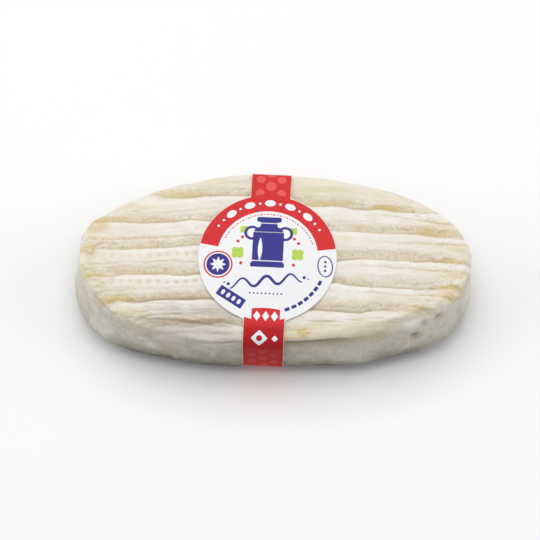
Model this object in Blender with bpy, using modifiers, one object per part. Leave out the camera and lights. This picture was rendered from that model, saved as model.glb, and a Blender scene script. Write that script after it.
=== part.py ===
"""A small oval goat cheese with a ribbed top, in the printed paper band that wraps it.

The long side lies along X and the front faces -Y. The cheese stands on z = 0.
"""

import math

import bmesh
import bpy
import numpy as np

# Outer form of the cheese, in metres
LENGTH = 0.1300
WIDTH = 0.0600
HEIGHT = 0.0257
# Fullness of the plan at its shoulders, where 2 draws a plain ellipse
FLAT_POWER = 2.2
BELLY_POWER = 2.85
RIM_POWER = 2.15
DOME = 0.0016  # the middle of the top above its rim
RIM_RADIUS = 0.0041
FOOT_REACH = 0.0078  # how far the rounded foot runs in under the belly
FOOT_HEIGHT = 0.0069
WAIST_DEPTH = 0.0007  # the hollow below the rim
WAIST_HEIGHT = 0.0162
WAIST_SPREAD = 0.0034
END_FLARE = 0.0016  # the belly stands out this far past the rim at each end
LEAN = 0.0020  # the top sits this far to the right of the foot
# Waves round the plan: how many, how deep for its size, and their phase in degrees
BELLY_WAVES = ((2, 0.0188, -124), (3, 0.0015, 121), (4, 0.0048, -45), (5, 0.0045, -10))
RIM_WAVES = ((2, 0.0038, 112), (3, 0.0162, -35), (4, 0.0060, -91), (5, 0.0108, 123))

# Ribs that the draining mat leaves across the top, as the y of each furrow between them.
# The mat is laid twice, so the furrows of the two halves do not meet.
LEFT_FURROWS = (-0.0310, -0.0222, -0.0144, -0.0052, 0.0042, 0.0129, 0.0224, 0.0316)
RIGHT_FURROWS = (-0.0392, -0.0300, -0.0176, -0.0090, -0.0001, 0.0090, 0.0187, 0.0280)
SEAM_SPREAD = 0.0120  # half the length over which one half runs into the other
FURROW_SLOPE = -0.0062
FURROW_BEND = 0.54  # they curve to the front at both ends, by this times x squared
REAR_BEND = 1.0  # and this much more at the back
REAR_START = 4.6  # counted in furrows from the front
REAR_SPREAD = 1.6
RIB_DEPTH = 0.0013
RIB_FLANK = 0.38  # share of a rib that slopes down to the front
RIB_BACK = 0.12  # share of a rib that drops off at the back
RIB_FADE = 0.0070  # the ribs die out this far down the side
UNDER_DEPTH = 0.0004  # furrows on the underside
UNDER_SHARE = 0.36  # share of a rib that such a furrow takes

# Paper band: a round label and the strap that grows out of it, in one piece
LABEL_RADIUS = 0.0221
LABEL_X = -0.0013
LABEL_Y = -0.0009
BAND_TURN = math.radians(-2.8)
STRAP_WIDTH = 0.0130
PAPER = 0.0003
PAPER_GAP = 0.0003
CHANNEL_DEPTH = 0.0008  # the strap beds this deep into the underside
CHANNEL_CLEAR = 0.0004

# How finely the surfaces are divided
OUTLINE_STEPS = 1440
HALVINGS = 26
TIP_SHARE = 0.45  # share of the width at the front and back where rows leave the ribs
ROWS = 84
TOP_CELLS = 18
UNDER_CELLS = 10
FOOT_CELLS = 4
WALL_CELLS = 4
RIM_CELLS = 4
BAND_ROWS = 120
BAND_CELLS = 6
BAND_FINER = 6  # the band follows the smooth side, not its facets

RIM_Z = HEIGHT - DOME


def eased(share):
    """Rises from 0 to 1 with a level start and end."""
    share = np.clip(share, 0, 1)
    return share * share * (3 - 2 * share)


def waves(table, turn):
    """Sum of the waves in a table at angle turn."""
    return sum(depth * np.cos(count * turn - math.radians(phase)) for count, depth, phase in table)


def outline(turn, inset, height):
    """x and y of the side at angle turn, an inset and a height, before the ribs."""
    belly = eased(height / FOOT_HEIGHT)
    rise = eased((height - FOOT_HEIGHT) / (RIM_Z - FOOT_HEIGHT))
    power = FLAT_POWER + (BELLY_POWER - FLAT_POWER) * belly + (RIM_POWER - BELLY_POWER) * rise
    x = LENGTH / 2 * np.cos(turn)
    y = WIDTH / 2 * np.sin(turn)
    long_share = np.abs(x / (LENGTH / 2 - inset - END_FLARE * rise)) ** power
    wide_share = np.abs(y / (WIDTH / 2 - inset)) ** power
    size = (long_share + wide_share) ** (-1 / power)
    swell = waves(BELLY_WAVES, turn) * (belly - rise) + waves(RIM_WAVES, turn) * rise
    x = x * size * (1 + swell) + LEAN * (height / HEIGHT - 0.5)
    return x, y * size * (1 + swell)


def side_profile(finer=1):
    """Inset, height and steepness of the side, from the flat underside up to the top."""
    foot = np.linspace(0, math.pi / 2, FOOT_CELLS * finer + 1)[:-1]
    wall = np.linspace(FOOT_HEIGHT, RIM_Z - RIM_RADIUS, WALL_CELLS * finer + 1)[:-1]
    rim = np.linspace(0, math.pi / 2, RIM_CELLS * finer + 1)
    waist = WAIST_DEPTH * np.exp(-(((wall - WAIST_HEIGHT) / WAIST_SPREAD) ** 2))
    inset = np.concatenate([FOOT_REACH * (1 - np.sin(foot)), waist, RIM_RADIUS * (1 - np.cos(rim))])
    height = np.concatenate(
        [FOOT_HEIGHT * (1 - np.cos(foot)), wall, RIM_Z - RIM_RADIUS * (1 - np.sin(rim))]
    )
    upward = np.concatenate([-np.cos(foot), 0 * wall, np.sin(rim)])
    return inset, height, upward


def rib_line(x, count):
    """y at x of the line that is count ribs from the front; whole counts are furrows."""
    numbers = np.arange(len(LEFT_FURROWS))
    left = np.interp(count, numbers, LEFT_FURROWS)
    right = np.interp(count, numbers, RIGHT_FURROWS)
    rear = np.clip((count - REAR_START) / REAR_SPREAD, 0, 1) ** 2
    across = (1 + np.tanh(x / SEAM_SPREAD)) / 2
    bend = (FURROW_BEND + REAR_BEND * rear) * x**2
    return left + (right - left) * across + FURROW_SLOPE * x - bend


def rib_drop(count):
    """How far the top lies below the rib crests: a gentle front flank and a sudden back."""
    share = count % 1.0
    return RIB_DEPTH * (1 - eased(share / RIB_FLANK) * eased((1 - share) / RIB_BACK))


def under_rise(count):
    """How far the underside lies above the floor, in shallow furrows between flat lands."""
    share = count % 1.0
    near = np.minimum(share, 1 - share) / (UNDER_SHARE / 2)
    return UNDER_DEPTH * (1 - eased(near))


def rib_count(x, y):
    """The count of the rib line through x and y, found by halving."""
    low = 0 * (x + y)
    high = low + len(LEFT_FURROWS) - 1
    for _ in range(HALVINGS):
        middle = (low + high) / 2
        before = rib_line(x, middle) < y
        low = np.where(before, middle, low)
        high = np.where(before, high, middle)
    return (low + high) / 2


def row_turns(sweep, steady):
    """Angles at which each row meets the rim on the right and on the left, front to back.

    Where steady is 1 the two ends of a row lie on one rib line.
    """
    ends = np.stack([sweep, math.pi - sweep])
    fine = np.linspace(-math.pi / 2, math.pi / 2, OUTLINE_STEPS)
    branches = np.stack([fine, math.pi - fine])
    counts = rib_count(*outline(branches, RIM_RADIUS, RIM_Z))
    rows = rib_count(*outline(ends, RIM_RADIUS, RIM_Z)).mean(0)
    for furrow in range(len(LEFT_FURROWS)):
        for edge in (furrow - RIB_BACK, furrow):
            nearest = np.argmin(np.abs(rows - edge))
            if steady[nearest] == 1:
                rows[nearest] = edge
    aligned = [
        np.interp(rows, np.maximum.accumulate(count), branch)
        for count, branch in zip(counts, branches)
    ]
    return ends + (np.array(aligned) - ends) * steady


def reach(x, y, inset_long, inset_wide, power):
    """0 in the middle of the plan and 1 on its outline."""
    long_share = np.abs(x / (LENGTH / 2 - inset_long)) ** power
    wide_share = np.abs(y / (WIDTH / 2 - inset_wide)) ** power
    return (long_share + wide_share) ** (1 / power)


def top_height(x, y):
    """Height of the rib crests: a low dome that is level at the rim."""
    spread = reach(x - LEAN / 2, y, RIM_RADIUS + END_FLARE, RIM_RADIUS, RIM_POWER)
    return RIM_Z + DOME * (1 - np.clip(spread, 0, 1) ** 2) ** 2


def side_points(turn, inset, height, upward):
    """Points of the side at the angles turn, one column for each step of the profile."""
    x, y = outline(turn[:, None], inset, height)
    rim_count = rib_count(*outline(turn[:, None], RIM_RADIUS, RIM_Z))
    away = np.stack([x / LENGTH**2, y / WIDTH**2, 0 * x], -1)
    away /= np.linalg.norm(away, axis=-1, keepdims=True)
    fade = eased((height - (RIM_Z - RIB_FADE)) / RIB_FADE)
    drop = rib_drop(rim_count) * fade
    up = np.array([0, 0, 1]) * upward[:, None]
    normal = away * np.sqrt(1 - upward**2)[:, None] + up
    return np.stack([x, y, height + 0 * x], -1) - normal * drop[..., None]


def sheet_plan(start, end, cells, steady):
    """x and y inside rows that run from start to end, closer together near the ends.

    Where steady is 1 they follow the rib lines and where it is 0 they are straight.
    """
    share = (1 - np.cos(np.linspace(0, math.pi, cells + 1)[1:-1])) / 2
    x = start[:, :1] + (end - start)[:, :1] * share
    y = start[:, 1:2] + (end - start)[:, 1:2] * share
    first = rib_count(start[:, :1], start[:, 1:2])
    last = rib_count(end[:, :1], end[:, 1:2])
    ribbed = rib_line(x, first + (last - first) * share)
    return x, y + (ribbed - y) * steady


def cheese_points():
    """Closed loops round the cheese, one for each row from front to back, as an array."""
    sweep = np.linspace(-math.pi / 2, math.pi / 2, ROWS + 1)
    steady = eased((1 - np.abs(np.sin(sweep))) / TIP_SHARE)
    right_turn, left_turn = row_turns(sweep, steady)
    profile = side_profile()
    right = side_points(right_turn, *profile)
    left = side_points(left_turn, *profile)
    top = sheet_plan(right[:, -1], left[:, -1], TOP_CELLS, steady[:, None])
    top_z = top_height(*top) - rib_drop(rib_count(*top))
    under = sheet_plan(left[:, 0], right[:, 0], UNDER_CELLS, 0)
    edge = reach(under[0] + LEAN / 2, under[1], FOOT_REACH, FOOT_REACH, FLAT_POWER)
    under_z = under_rise(rib_count(*under)) * eased((1 - edge) * 6)
    loops = [right, np.stack([*top, top_z], -1), left[:, ::-1], np.stack([*under, under_z], -1)]
    loops = np.concatenate(loops, 1)
    return np.concatenate([loops, loops[:, :1]], 1)


def mapped_grid(name, points):
    """A grid primitive whose corner (i, j) is moved to points[i, j], with meeting edges joined."""
    rows, columns = points.shape[0] - 1, points.shape[1] - 1
    shell = bmesh.new()
    bmesh.ops.create_grid(shell, x_segments=rows, y_segments=columns, size=1)
    for vertex in shell.verts:
        i = round((vertex.co.x + 1) / 2 * rows)
        j = round((vertex.co.y + 1) / 2 * columns)
        vertex.co = points[i, j]
    bmesh.ops.remove_doubles(shell, verts=shell.verts, dist=2e-5)
    bmesh.ops.recalc_face_normals(shell, faces=shell.faces)
    mesh = bpy.data.meshes.new(name)
    shell.to_mesh(mesh)
    shell.free()
    mesh.shade_smooth()
    mesh.set_sharp_from_angle(angle=math.radians(50))
    return bpy.data.objects.new(name, mesh)


def convex_loop(points):
    """The convex hull of 2-D points, clockwise: the path of a taut band."""
    points = sorted(map(tuple, points))

    def cross(a, b, c):
        return (b[0] - a[0]) * (c[1] - a[1]) - (b[1] - a[1]) * (c[0] - a[0])

    def half(run):
        hull = []
        for p in run:
            while len(hull) > 1 and cross(hull[-2], hull[-1], p) <= 0:
                hull.pop()
            hull.append(p)
        return hull[:-1]

    return np.array(half(points) + half(points[::-1]))[::-1]


def band_frame():
    """Plan directions across the strap and along it."""
    across = np.array([math.cos(BAND_TURN), math.sin(BAND_TURN)])
    along = np.array([-math.sin(BAND_TURN), math.cos(BAND_TURN)])
    return across, along


def band_path():
    """The taut loop round the cheese in the upright plane of the strap.

    Its points are (distance along the strap in plan, height) from the label's middle,
    starting there and running to the back.
    """
    across, along = band_frame()
    centre = np.array([LABEL_X, LABEL_Y])
    inset, height, _ = side_profile(BAND_FINER)
    turns = np.radians(np.arange(0, 360, 1.0))[:, None]
    plan = np.stack(outline(turns, inset, height), -1) - centre
    beneath = np.abs(plan @ across) < STRAP_WIDTH / 2
    level = np.maximum(height, CHANNEL_DEPTH) + 0 * turns
    section = [np.stack([(plan @ along)[beneath], level[beneath]], -1)]
    run = np.linspace(-WIDTH / 2 + RIM_RADIUS, WIDTH / 2 - RIM_RADIUS, 41)
    for side in (-STRAP_WIDTH / 2, 0, STRAP_WIDTH / 2):
        plan = centre + side * across + run[:, None] * along
        section.append(np.stack([run, top_height(plan[:, 0], plan[:, 1])], -1))
    around = np.linspace(0, 2 * math.pi, 33)
    ring = PAPER_GAP * np.stack([np.cos(around), np.sin(around)], -1)
    loop = convex_loop((np.concatenate(section)[:, None] + ring).reshape(-1, 2))
    loop = np.concatenate([loop, loop[:1]])
    steps = np.linalg.norm(np.diff(loop, axis=0), axis=1)
    length = np.concatenate([[0], np.cumsum(steps)])
    over = np.flatnonzero((loop[:-1, 1] > HEIGHT / 2) & (loop[:-1, 0] <= 0) & (loop[1:, 0] > 0))[0]
    start = length[over] - loop[over, 0] / (loop[over + 1, 0] - loop[over, 0]) * steps[over]
    return length, loop, start


def label_rows(total):
    """Lengths along the paper from the label's middle at which a row of points lies."""
    round_count = BAND_ROWS // 3
    round_part = LABEL_RADIUS * np.sin(np.linspace(-1, 1, round_count + 1) * math.pi / 2)
    rest = np.linspace(LABEL_RADIUS, total - LABEL_RADIUS, BAND_ROWS - round_count + 1)
    return np.concatenate([round_part, rest[1:]])


def band_points():
    """Rows of points across the paper, each from its left edge to its right edge."""
    across, along = band_frame()
    length, loop, start = band_path()
    total = length[-1]
    rows = label_rows(total)
    half_width = np.full_like(rows, STRAP_WIDTH / 2)
    inside = np.abs(rows) < LABEL_RADIUS
    disc = np.sqrt(LABEL_RADIUS**2 - rows[inside] ** 2)
    half_width[inside] = np.maximum(half_width[inside], disc)
    side = half_width[:, None] * np.linspace(-1, 1, BAND_CELLS + 1)
    place = (rows + start) % total
    forth = np.interp(place, length, loop[:, 0])[:, None]
    level = np.interp(place, length, loop[:, 1])[:, None]
    x = LABEL_X + side * across[0] + forth * along[0]
    y = LABEL_Y + side * across[1] + forth * along[1]
    middle_x = LABEL_X + forth * along[0]
    middle_y = LABEL_Y + forth * along[1]
    sag = top_height(x, y) - top_height(middle_x, middle_y)
    return np.stack([x, y, level + sag * inside[:, None]], -1)


def paint(thing, name, colour, roughness):
    """Gives a thing its own plain material."""
    material = bpy.data.materials.new(name)
    material.use_nodes = True
    shader = material.node_tree.nodes["Principled BSDF"]
    shader.inputs["Base Color"].default_value = (*colour, 1)
    shader.inputs["Roughness"].default_value = roughness
    shader.inputs["Metallic"].default_value = 0.0
    material.diffuse_color = (*colour, 1)
    thing.data.materials.append(material)


def add_channel_cutter(collection):
    """A block that cuts the strap's bed into the underside."""
    bpy.ops.mesh.primitive_cube_add(size=1, location=(LABEL_X, LABEL_Y, 0))
    cutter = bpy.context.object
    cutter.name = "strap_bed_cutter"
    cutter.dimensions = (STRAP_WIDTH + 2 * CHANNEL_CLEAR, 2 * WIDTH, 2 * CHANNEL_DEPTH)
    cutter.rotation_euler.z = BAND_TURN
    cutter.hide_render = True
    cutter.display_type = "WIRE"
    for owner in cutter.users_collection:
        owner.objects.unlink(cutter)
    collection.objects.link(cutter)
    return cutter


def main():
    for thing in list(bpy.data.objects):
        bpy.data.objects.remove(thing)
    parts = bpy.data.collections.new("goat_cheese")
    cutters = bpy.data.collections.new("cutters")
    bpy.context.scene.collection.children.link(parts)
    bpy.context.scene.collection.children.link(cutters)

    cheese = mapped_grid("cheese", cheese_points())
    parts.objects.link(cheese)
    paint(cheese, "bloomy_rind", (0.83, 0.77, 0.66), 0.75)
    bed = cheese.modifiers.new("strap_bed", "BOOLEAN")
    bed.operation = "DIFFERENCE"
    bed.object = add_channel_cutter(cutters)

    band = mapped_grid("paper_band", band_points())
    parts.objects.link(band)
    paint(band, "printed_paper", (0.78, 0.10, 0.11), 0.45)
    sheet = band.modifiers.new("thickness", "SOLIDIFY")
    sheet.thickness = PAPER
    sheet.offset = 1


main()
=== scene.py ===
# %% [markdown]
# # Goat cheese in a paper band
# A small soft goat cheese: a long oval with seven ribs across its top, and a printed paper
# band round its middle. The solids already have its sizes. What they lack is the surface,
# such as the mat's marks, wrinkles, a downy white and grey bloom, yellow spots and the
# print. Each surface is worked out with numpy as a grid of points, put into a mesh at one
# go, and coloured by nodes. Lengths are in metres unless a name or a comment says mm.

# %% Load the frame
import math

import bpy
import numpy as np
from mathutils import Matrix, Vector


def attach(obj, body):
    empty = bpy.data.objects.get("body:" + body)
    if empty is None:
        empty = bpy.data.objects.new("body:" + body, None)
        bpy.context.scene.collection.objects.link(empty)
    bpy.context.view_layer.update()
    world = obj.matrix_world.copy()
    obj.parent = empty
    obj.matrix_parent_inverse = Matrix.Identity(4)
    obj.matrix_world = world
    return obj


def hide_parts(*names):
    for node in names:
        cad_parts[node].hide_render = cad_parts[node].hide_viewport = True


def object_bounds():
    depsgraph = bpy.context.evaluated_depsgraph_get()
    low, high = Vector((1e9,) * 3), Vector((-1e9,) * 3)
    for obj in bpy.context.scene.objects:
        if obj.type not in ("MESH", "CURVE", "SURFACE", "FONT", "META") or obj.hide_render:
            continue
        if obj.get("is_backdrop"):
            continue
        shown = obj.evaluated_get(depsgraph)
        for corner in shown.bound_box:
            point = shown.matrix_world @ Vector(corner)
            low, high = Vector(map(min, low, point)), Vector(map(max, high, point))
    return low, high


MM = 0.001

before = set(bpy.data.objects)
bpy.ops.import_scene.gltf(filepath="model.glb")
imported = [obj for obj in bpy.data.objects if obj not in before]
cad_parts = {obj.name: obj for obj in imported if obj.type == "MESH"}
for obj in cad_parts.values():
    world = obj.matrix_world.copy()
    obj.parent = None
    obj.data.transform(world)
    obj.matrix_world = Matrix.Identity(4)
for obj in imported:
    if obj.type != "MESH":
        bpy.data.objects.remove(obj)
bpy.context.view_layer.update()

# %% [markdown]
# ## Soft steps and round hills
# Nothing on a soft cheese starts or stops sharply. Blender has a Map Range node and falloff
# curves for that, but here the form itself needs them, so three short formulas do the work
# everywhere: an eased step, the same step between two values, and a round hill.

# %% Steps, hills and waves


def eased(share):
    """Rises from 0 to 1 with a level start and end: 3 times the square less 2 times the cube."""
    share = np.clip(share, 0, 1)
    return share * share * (3 - 2 * share)


def climb(value, start, end):
    """0 where a value is at start or before it, 1 from end on, and eased in between."""
    return eased((value - start) / (end - start))


def bump(value, centre, spread):
    """A round hill of height 1: e to minus the square of the distance over the spread."""
    return np.exp(-(((value - centre) / spread) ** 2))


def waves(table, turn):
    """Sum of a table's waves at angle turn: each a depth times the cosine of count turns."""
    return sum(depth * np.cos(count * turn - math.radians(phase)) for count, depth, phase in table)


print("half way up a step:", eased(0.5), "and one spread down a hill:", round(bump(1, 0, 1), 2))

# %% [markdown]
# ## The oval and its side
# Seen from above the real cheese is a blunt oval. Its side bulges over a rounded foot and
# turns into the top over a small round rim. It could be a squashed sphere or a sculpted
# block. A superellipse is chosen because one number, its power, makes an oval boxier or
# rounder, and can change with the height. Slow waves make it uneven, as a mould filled by
# hand does. The numbers are the solid's own, so the piece lies where the solid does.

# %% Sizes of the oval
LENGTH = 0.1300
WIDTH = 0.0600
HEIGHT = 0.0257
FLAT_POWER = 2.2
BELLY_POWER = 2.85
RIM_POWER = 2.15
DOME = 0.0016
RIM_RADIUS = 0.0041
FOOT_REACH = 0.0078
FOOT_HEIGHT = 0.0069
WAIST_DEPTH = 0.0007
WAIST_HEIGHT = 0.0162
WAIST_SPREAD = 0.0034
END_FLARE = 0.0016
LEAN = 0.0020
RIM_Z = HEIGHT - DOME
# Waves round the oval: how many in a turn, depth as a share of the size, and phase in degrees
BELLY_WAVES = ((2, 0.0188, -124), (3, 0.0015, 121), (4, 0.0048, -45), (5, 0.0045, -10))
RIM_WAVES = ((2, 0.0038, 112), (3, 0.0162, -35), (4, 0.0060, -91), (5, 0.0108, 123))


def outline(turn, inset, height):
    """x and y of the side at angle turn, before the ribs.

    A superellipse: x over its half length, to a power, plus y over its half width, to the
    same power, is 1. The inset shortens both halves, the height picks the power, and the
    waves scale the result. The top leans to the right by LEAN over the whole height.
    """
    belly = eased(height / FOOT_HEIGHT)
    rise = climb(height, FOOT_HEIGHT, RIM_Z)
    power = FLAT_POWER + (BELLY_POWER - FLAT_POWER) * belly + (RIM_POWER - BELLY_POWER) * rise
    x = LENGTH / 2 * np.cos(turn)
    y = WIDTH / 2 * np.sin(turn)
    long_share = np.abs(x / (LENGTH / 2 - inset - END_FLARE * rise)) ** power
    wide_share = np.abs(y / (WIDTH / 2 - inset)) ** power
    size = (long_share + wide_share) ** (-1 / power)
    swell = waves(BELLY_WAVES, turn) * (belly - rise) + waves(RIM_WAVES, turn) * rise
    x = x * size * (1 + swell) + LEAN * (height / HEIGHT - 0.5)
    return x, y * size * (1 + swell)


def reach(x, y, inset_long, inset_wide, power):
    """0 in the middle of the plan and 1 on its outline: the superellipse's own sum, rooted."""
    long_share = np.abs(x / (LENGTH / 2 - inset_long)) ** power
    wide_share = np.abs(y / (WIDTH / 2 - inset_wide)) ** power
    return (long_share + wide_share) ** (1 / power)


def reach_at_rim(x, y):
    """0 in the middle of the top and 1 where it meets the round rim."""
    return reach(x - LEAN / 2, y, RIM_RADIUS + END_FLARE, RIM_RADIUS, RIM_POWER)


right_end = outline(np.array(0.0), 0.0, np.array(FOOT_HEIGHT))[0]
print(f"the belly's right end lies {right_end / MM:.1f} mm from the middle")

# %% Profile of the side
FOOT_CELLS = 8
WALL_CELLS = 15
RIM_CELLS = 13


def side_profile():
    """Inset, height and steepness of the side, from the flat underside up to the top.

    A quarter of an oval for the foot, a wall with a shallow waist, and a quarter circle
    for the rim. Steepness is the upward part of the normal, from -1 to 1.
    """
    foot = np.linspace(0, math.pi / 2, FOOT_CELLS + 1)[:-1]
    wall = np.linspace(FOOT_HEIGHT, RIM_Z - RIM_RADIUS, WALL_CELLS + 1)[:-1]
    rim = np.linspace(0, math.pi / 2, RIM_CELLS + 1)
    foot_part = FOOT_REACH * (1 - np.sin(foot)), FOOT_HEIGHT * (1 - np.cos(foot)), -np.cos(foot)
    wall_part = WAIST_DEPTH * bump(wall, WAIST_HEIGHT, WAIST_SPREAD), wall, 0 * wall
    rim_part = RIM_RADIUS * (1 - np.cos(rim)), RIM_Z - RIM_RADIUS * (1 - np.sin(rim)), np.sin(rim)
    return [np.concatenate(part) for part in zip(foot_part, wall_part, rim_part)]


print("points up the side:", len(side_profile()[0]))

# %% [markdown]
# ## The ribs
# The cheese drained on a ribbed mat, which left seven ribs along its top, with a gentle
# front and a sudden back. They slope, bend towards the ends and do not meet quite in line
# at the middle, where the band hides the join. They could be cut with an array of tubes.
# Here every point instead gets a rib count, 0 on the front furrow and 1 more on each next
# one, and the height is read from that count, so the ribs can bend as the real ones do.

# %% Lines of the ribs
# y of each furrow at the middle, as the left and the right half have it
LEFT_FURROWS = (-0.0310, -0.0222, -0.0144, -0.0052, 0.0042, 0.0129, 0.0224, 0.0316)
RIGHT_FURROWS = (-0.0392, -0.0300, -0.0176, -0.0090, -0.0001, 0.0090, 0.0187, 0.0280)
LAST = len(LEFT_FURROWS) - 1
SEAM_SPREAD = 0.0120
FURROW_SLOPE = -0.0062
FURROW_BEND = 0.54
REAR_BEND = 1.0
REAR_START = 4.6
REAR_SPREAD = 1.6
HALVINGS = 26


def rib_line(x, count):
    """y at x of the line that is count ribs from the front; whole counts are furrows.

    A blend of the left and the right half's y, plus a slope times x, less a bend times the
    square of x. The bend is stronger towards the rear.
    """
    numbers = np.arange(len(LEFT_FURROWS))
    left = np.interp(count, numbers, LEFT_FURROWS)
    right = np.interp(count, numbers, RIGHT_FURROWS)
    rear = np.clip((count - REAR_START) / REAR_SPREAD, 0, 1) ** 2
    across = (1 + np.tanh(x / SEAM_SPREAD)) / 2
    bend = (FURROW_BEND + REAR_BEND * rear) * x**2
    return left + (right - left) * across + FURROW_SLOPE * x - bend


def rib_count(x, y):
    """The count whose line passes through x and y, found by halving the interval."""
    low = 0 * (x + y)
    high = low + LAST
    for _ in range(HALVINGS):
        middle = (low + high) / 2
        before = rib_line(x, middle) < y
        low = np.where(before, middle, low)
        high = np.where(before, high, middle)
    return (low + high) / 2


print("y of the furrows on the left in mm:", [round(y / MM, 1) for y in LEFT_FURROWS])

# %% Depth of the ribs
RIB_DEPTH = 0.0013
RIB_FLANK = 0.38
RIB_BACK = 0.12
RIB_FADE = 0.0070
UNDER_DEPTH = 0.0004
UNDER_SHARE = 0.36


def rib_drop(count):
    """How far the top lies below the crests: the depth less a slow step up and a quick one down."""
    share = count % 1.0
    return RIB_DEPTH * (1 - eased(share / RIB_FLANK) * eased((1 - share) / RIB_BACK))


def under_rise(count):
    """How far the underside lies above the floor: a shallow eased furrow at each whole count."""
    share = count % 1.0
    near = np.minimum(share, 1 - share) / (UNDER_SHARE / 2)
    return UNDER_DEPTH * (1 - eased(near))


def top_height(x, y):
    """Height of the crests: a low dome, one less the squared reach, squared, level at the rim."""
    return RIM_Z + DOME * (1 - np.clip(reach_at_rim(x, y), 0, 1) ** 2) ** 2


print(f"middle of the top at {top_height(0.0, 0.0) / MM:.1f} mm, rim at {RIM_Z / MM:.1f} mm")

# %% [markdown]
# ## One grid round the whole cheese
# The rind is one closed skin, so it is one piece. A sphere that is remeshed and sculpted
# would have vertices everywhere but on the furrows. Here each loop of the grid goes up the
# right side, over the top along a rib, down the left side and back underneath, and the
# loops lie close together across the ribs. The furrows then fall on edges of the mesh and
# stay crisp. All loops meet in a point at the front and at the back, which is welded later.

# %% Rows that follow the ribs
OUTLINE_STEPS = 1440
TIP_SHARE = 0.45
ROWS = 290
TOP_CELLS = 200
UNDER_CELLS = 22
TOP_CROWD = 0.3
UNDER_CROWD = 0.8


def row_turns(sweep, steady):
    """Angles at which each row meets the rim on the right and on the left, front to back.

    The angle is the one where the rib count along the rim is the row's own count, by
    interpolation. Near the two tips it blends into the plain sweep of angles.
    """
    ends = np.stack([sweep, math.pi - sweep])
    fine = np.linspace(-math.pi / 2, math.pi / 2, OUTLINE_STEPS)
    branches = np.stack([fine, math.pi - fine])
    counts = rib_count(*outline(branches, RIM_RADIUS, RIM_Z))
    rows = rib_count(*outline(ends, RIM_RADIUS, RIM_Z)).mean(0)
    for furrow in range(LAST + 1):
        for edge in (furrow - RIB_BACK, furrow):
            nearest = np.argmin(np.abs(rows - edge))
            if steady[nearest] == 1:
                rows[nearest] = edge
    aligned = [
        np.interp(rows, np.maximum.accumulate(count), branch)
        for count, branch in zip(counts, branches)
    ]
    return ends + (np.array(aligned) - ends) * steady


def side_points(turn, inset, height, upward):
    """Points of the side, each moved inward along its normal by the rib's fading drop.

    With them go the normals, the rib counts, the share of the rib and the unribbed level.
    """
    x, y = outline(turn[:, None], inset, height)
    count = rib_count(*outline(turn[:, None], RIM_RADIUS, RIM_Z)) + 0 * x
    away = np.stack([x / LENGTH**2, y / WIDTH**2, 0 * x], -1)
    away /= np.linalg.norm(away, axis=-1, keepdims=True)
    fade = climb(height, RIM_Z - RIB_FADE, RIM_Z) + 0 * x
    drop = rib_drop(count) * fade
    up = np.array([0, 0, 1]) * upward[:, None]
    normal = away * np.sqrt(1 - upward**2)[:, None] + up
    points = np.stack([x, y, height + 0 * x], -1) - normal * drop[..., None]
    return points, normal, count, fade, height + 0 * x


def sheet_plan(start, end, cells, crowd, steady):
    """x and y inside rows from start to end, crowded towards the ends by a sine.

    y follows the rib line whose count runs evenly from the first end's to the last's.
    """
    even = np.linspace(0, 1, cells + 1)[1:-1]
    share = even - crowd * np.sin(2 * math.pi * even) / (2 * math.pi)
    x = start[:, :1] + (end - start)[:, :1] * share
    y = start[:, 1:2] + (end - start)[:, 1:2] * share
    first = rib_count(start[:, :1], start[:, 1:2])
    last = rib_count(end[:, :1], end[:, 1:2])
    ribbed = rib_line(x, first + (last - first) * share)
    return x, y + (ribbed - y) * steady


print("rows front to back:", ROWS, "and cells along a rib:", TOP_CELLS)

# %% Loops round the cheese
UNDER_EDGE = 6


def top_part(x, y):
    """The top: the crests' height less the rib's drop, with normals straight up."""
    count = rib_count(x, y)
    points = np.stack([x, y, top_height(x, y) - rib_drop(count)], -1)
    return points, np.array([0, 0, 1]) + 0 * points, count, 0 * x + 1, 0 * x + RIM_Z


def under_part(x, y):
    """The underside: its furrows' rise, which fades near the foot, with normals down."""
    count = rib_count(x, y)
    edge = reach(x + LEAN / 2, y, FOOT_REACH, FOOT_REACH, FLAT_POWER)
    points = np.stack([x, y, under_rise(count) * eased((1 - edge) * UNDER_EDGE)], -1)
    return points, np.array([0, 0, -1]) + 0 * points, count, 0 * x, 0 * x


def cheese_grid():
    """The parts side by side: right side up, top, left side down, and underside back."""
    sweep = np.linspace(-math.pi / 2, math.pi / 2, ROWS + 1)
    steady = climb(np.abs(np.sin(sweep)), 1, 1 - TIP_SHARE)
    right_turn, left_turn = row_turns(sweep, steady)
    profile = side_profile()
    right = side_points(right_turn, *profile)
    left = [part[:, ::-1] for part in side_points(left_turn, *profile)]
    over = sheet_plan(right[0][:, -1], left[0][:, 0], TOP_CELLS, TOP_CROWD, steady[:, None])
    beneath = sheet_plan(left[0][:, -1], right[0][:, 0], UNDER_CELLS, UNDER_CROWD, 0)
    parts = right, top_part(*over), left, under_part(*beneath)
    return [np.concatenate(part, 1) for part in zip(*parts)]


points, normals, count, on_rib, level = cheese_grid()
print("the cheese's grid is", points.shape[0], "loops of", points.shape[1], "points")

# %% [markdown]
# ## Noise with a seed
# Curd, mould and handling leave the rind uneven at every size, from lumps to down. Blender's
# noise textures could displace a mesh through a modifier. A small noise of our own, always
# drawn from the same seeds, gives the same cheese on every run, and the same values can
# then steer both the form and the colour, so that a hollow is dark where it is deep.

# %% Noise
TABLE_SIDE = 48
FAR_START = 1000.37
FINER = 2.03


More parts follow.
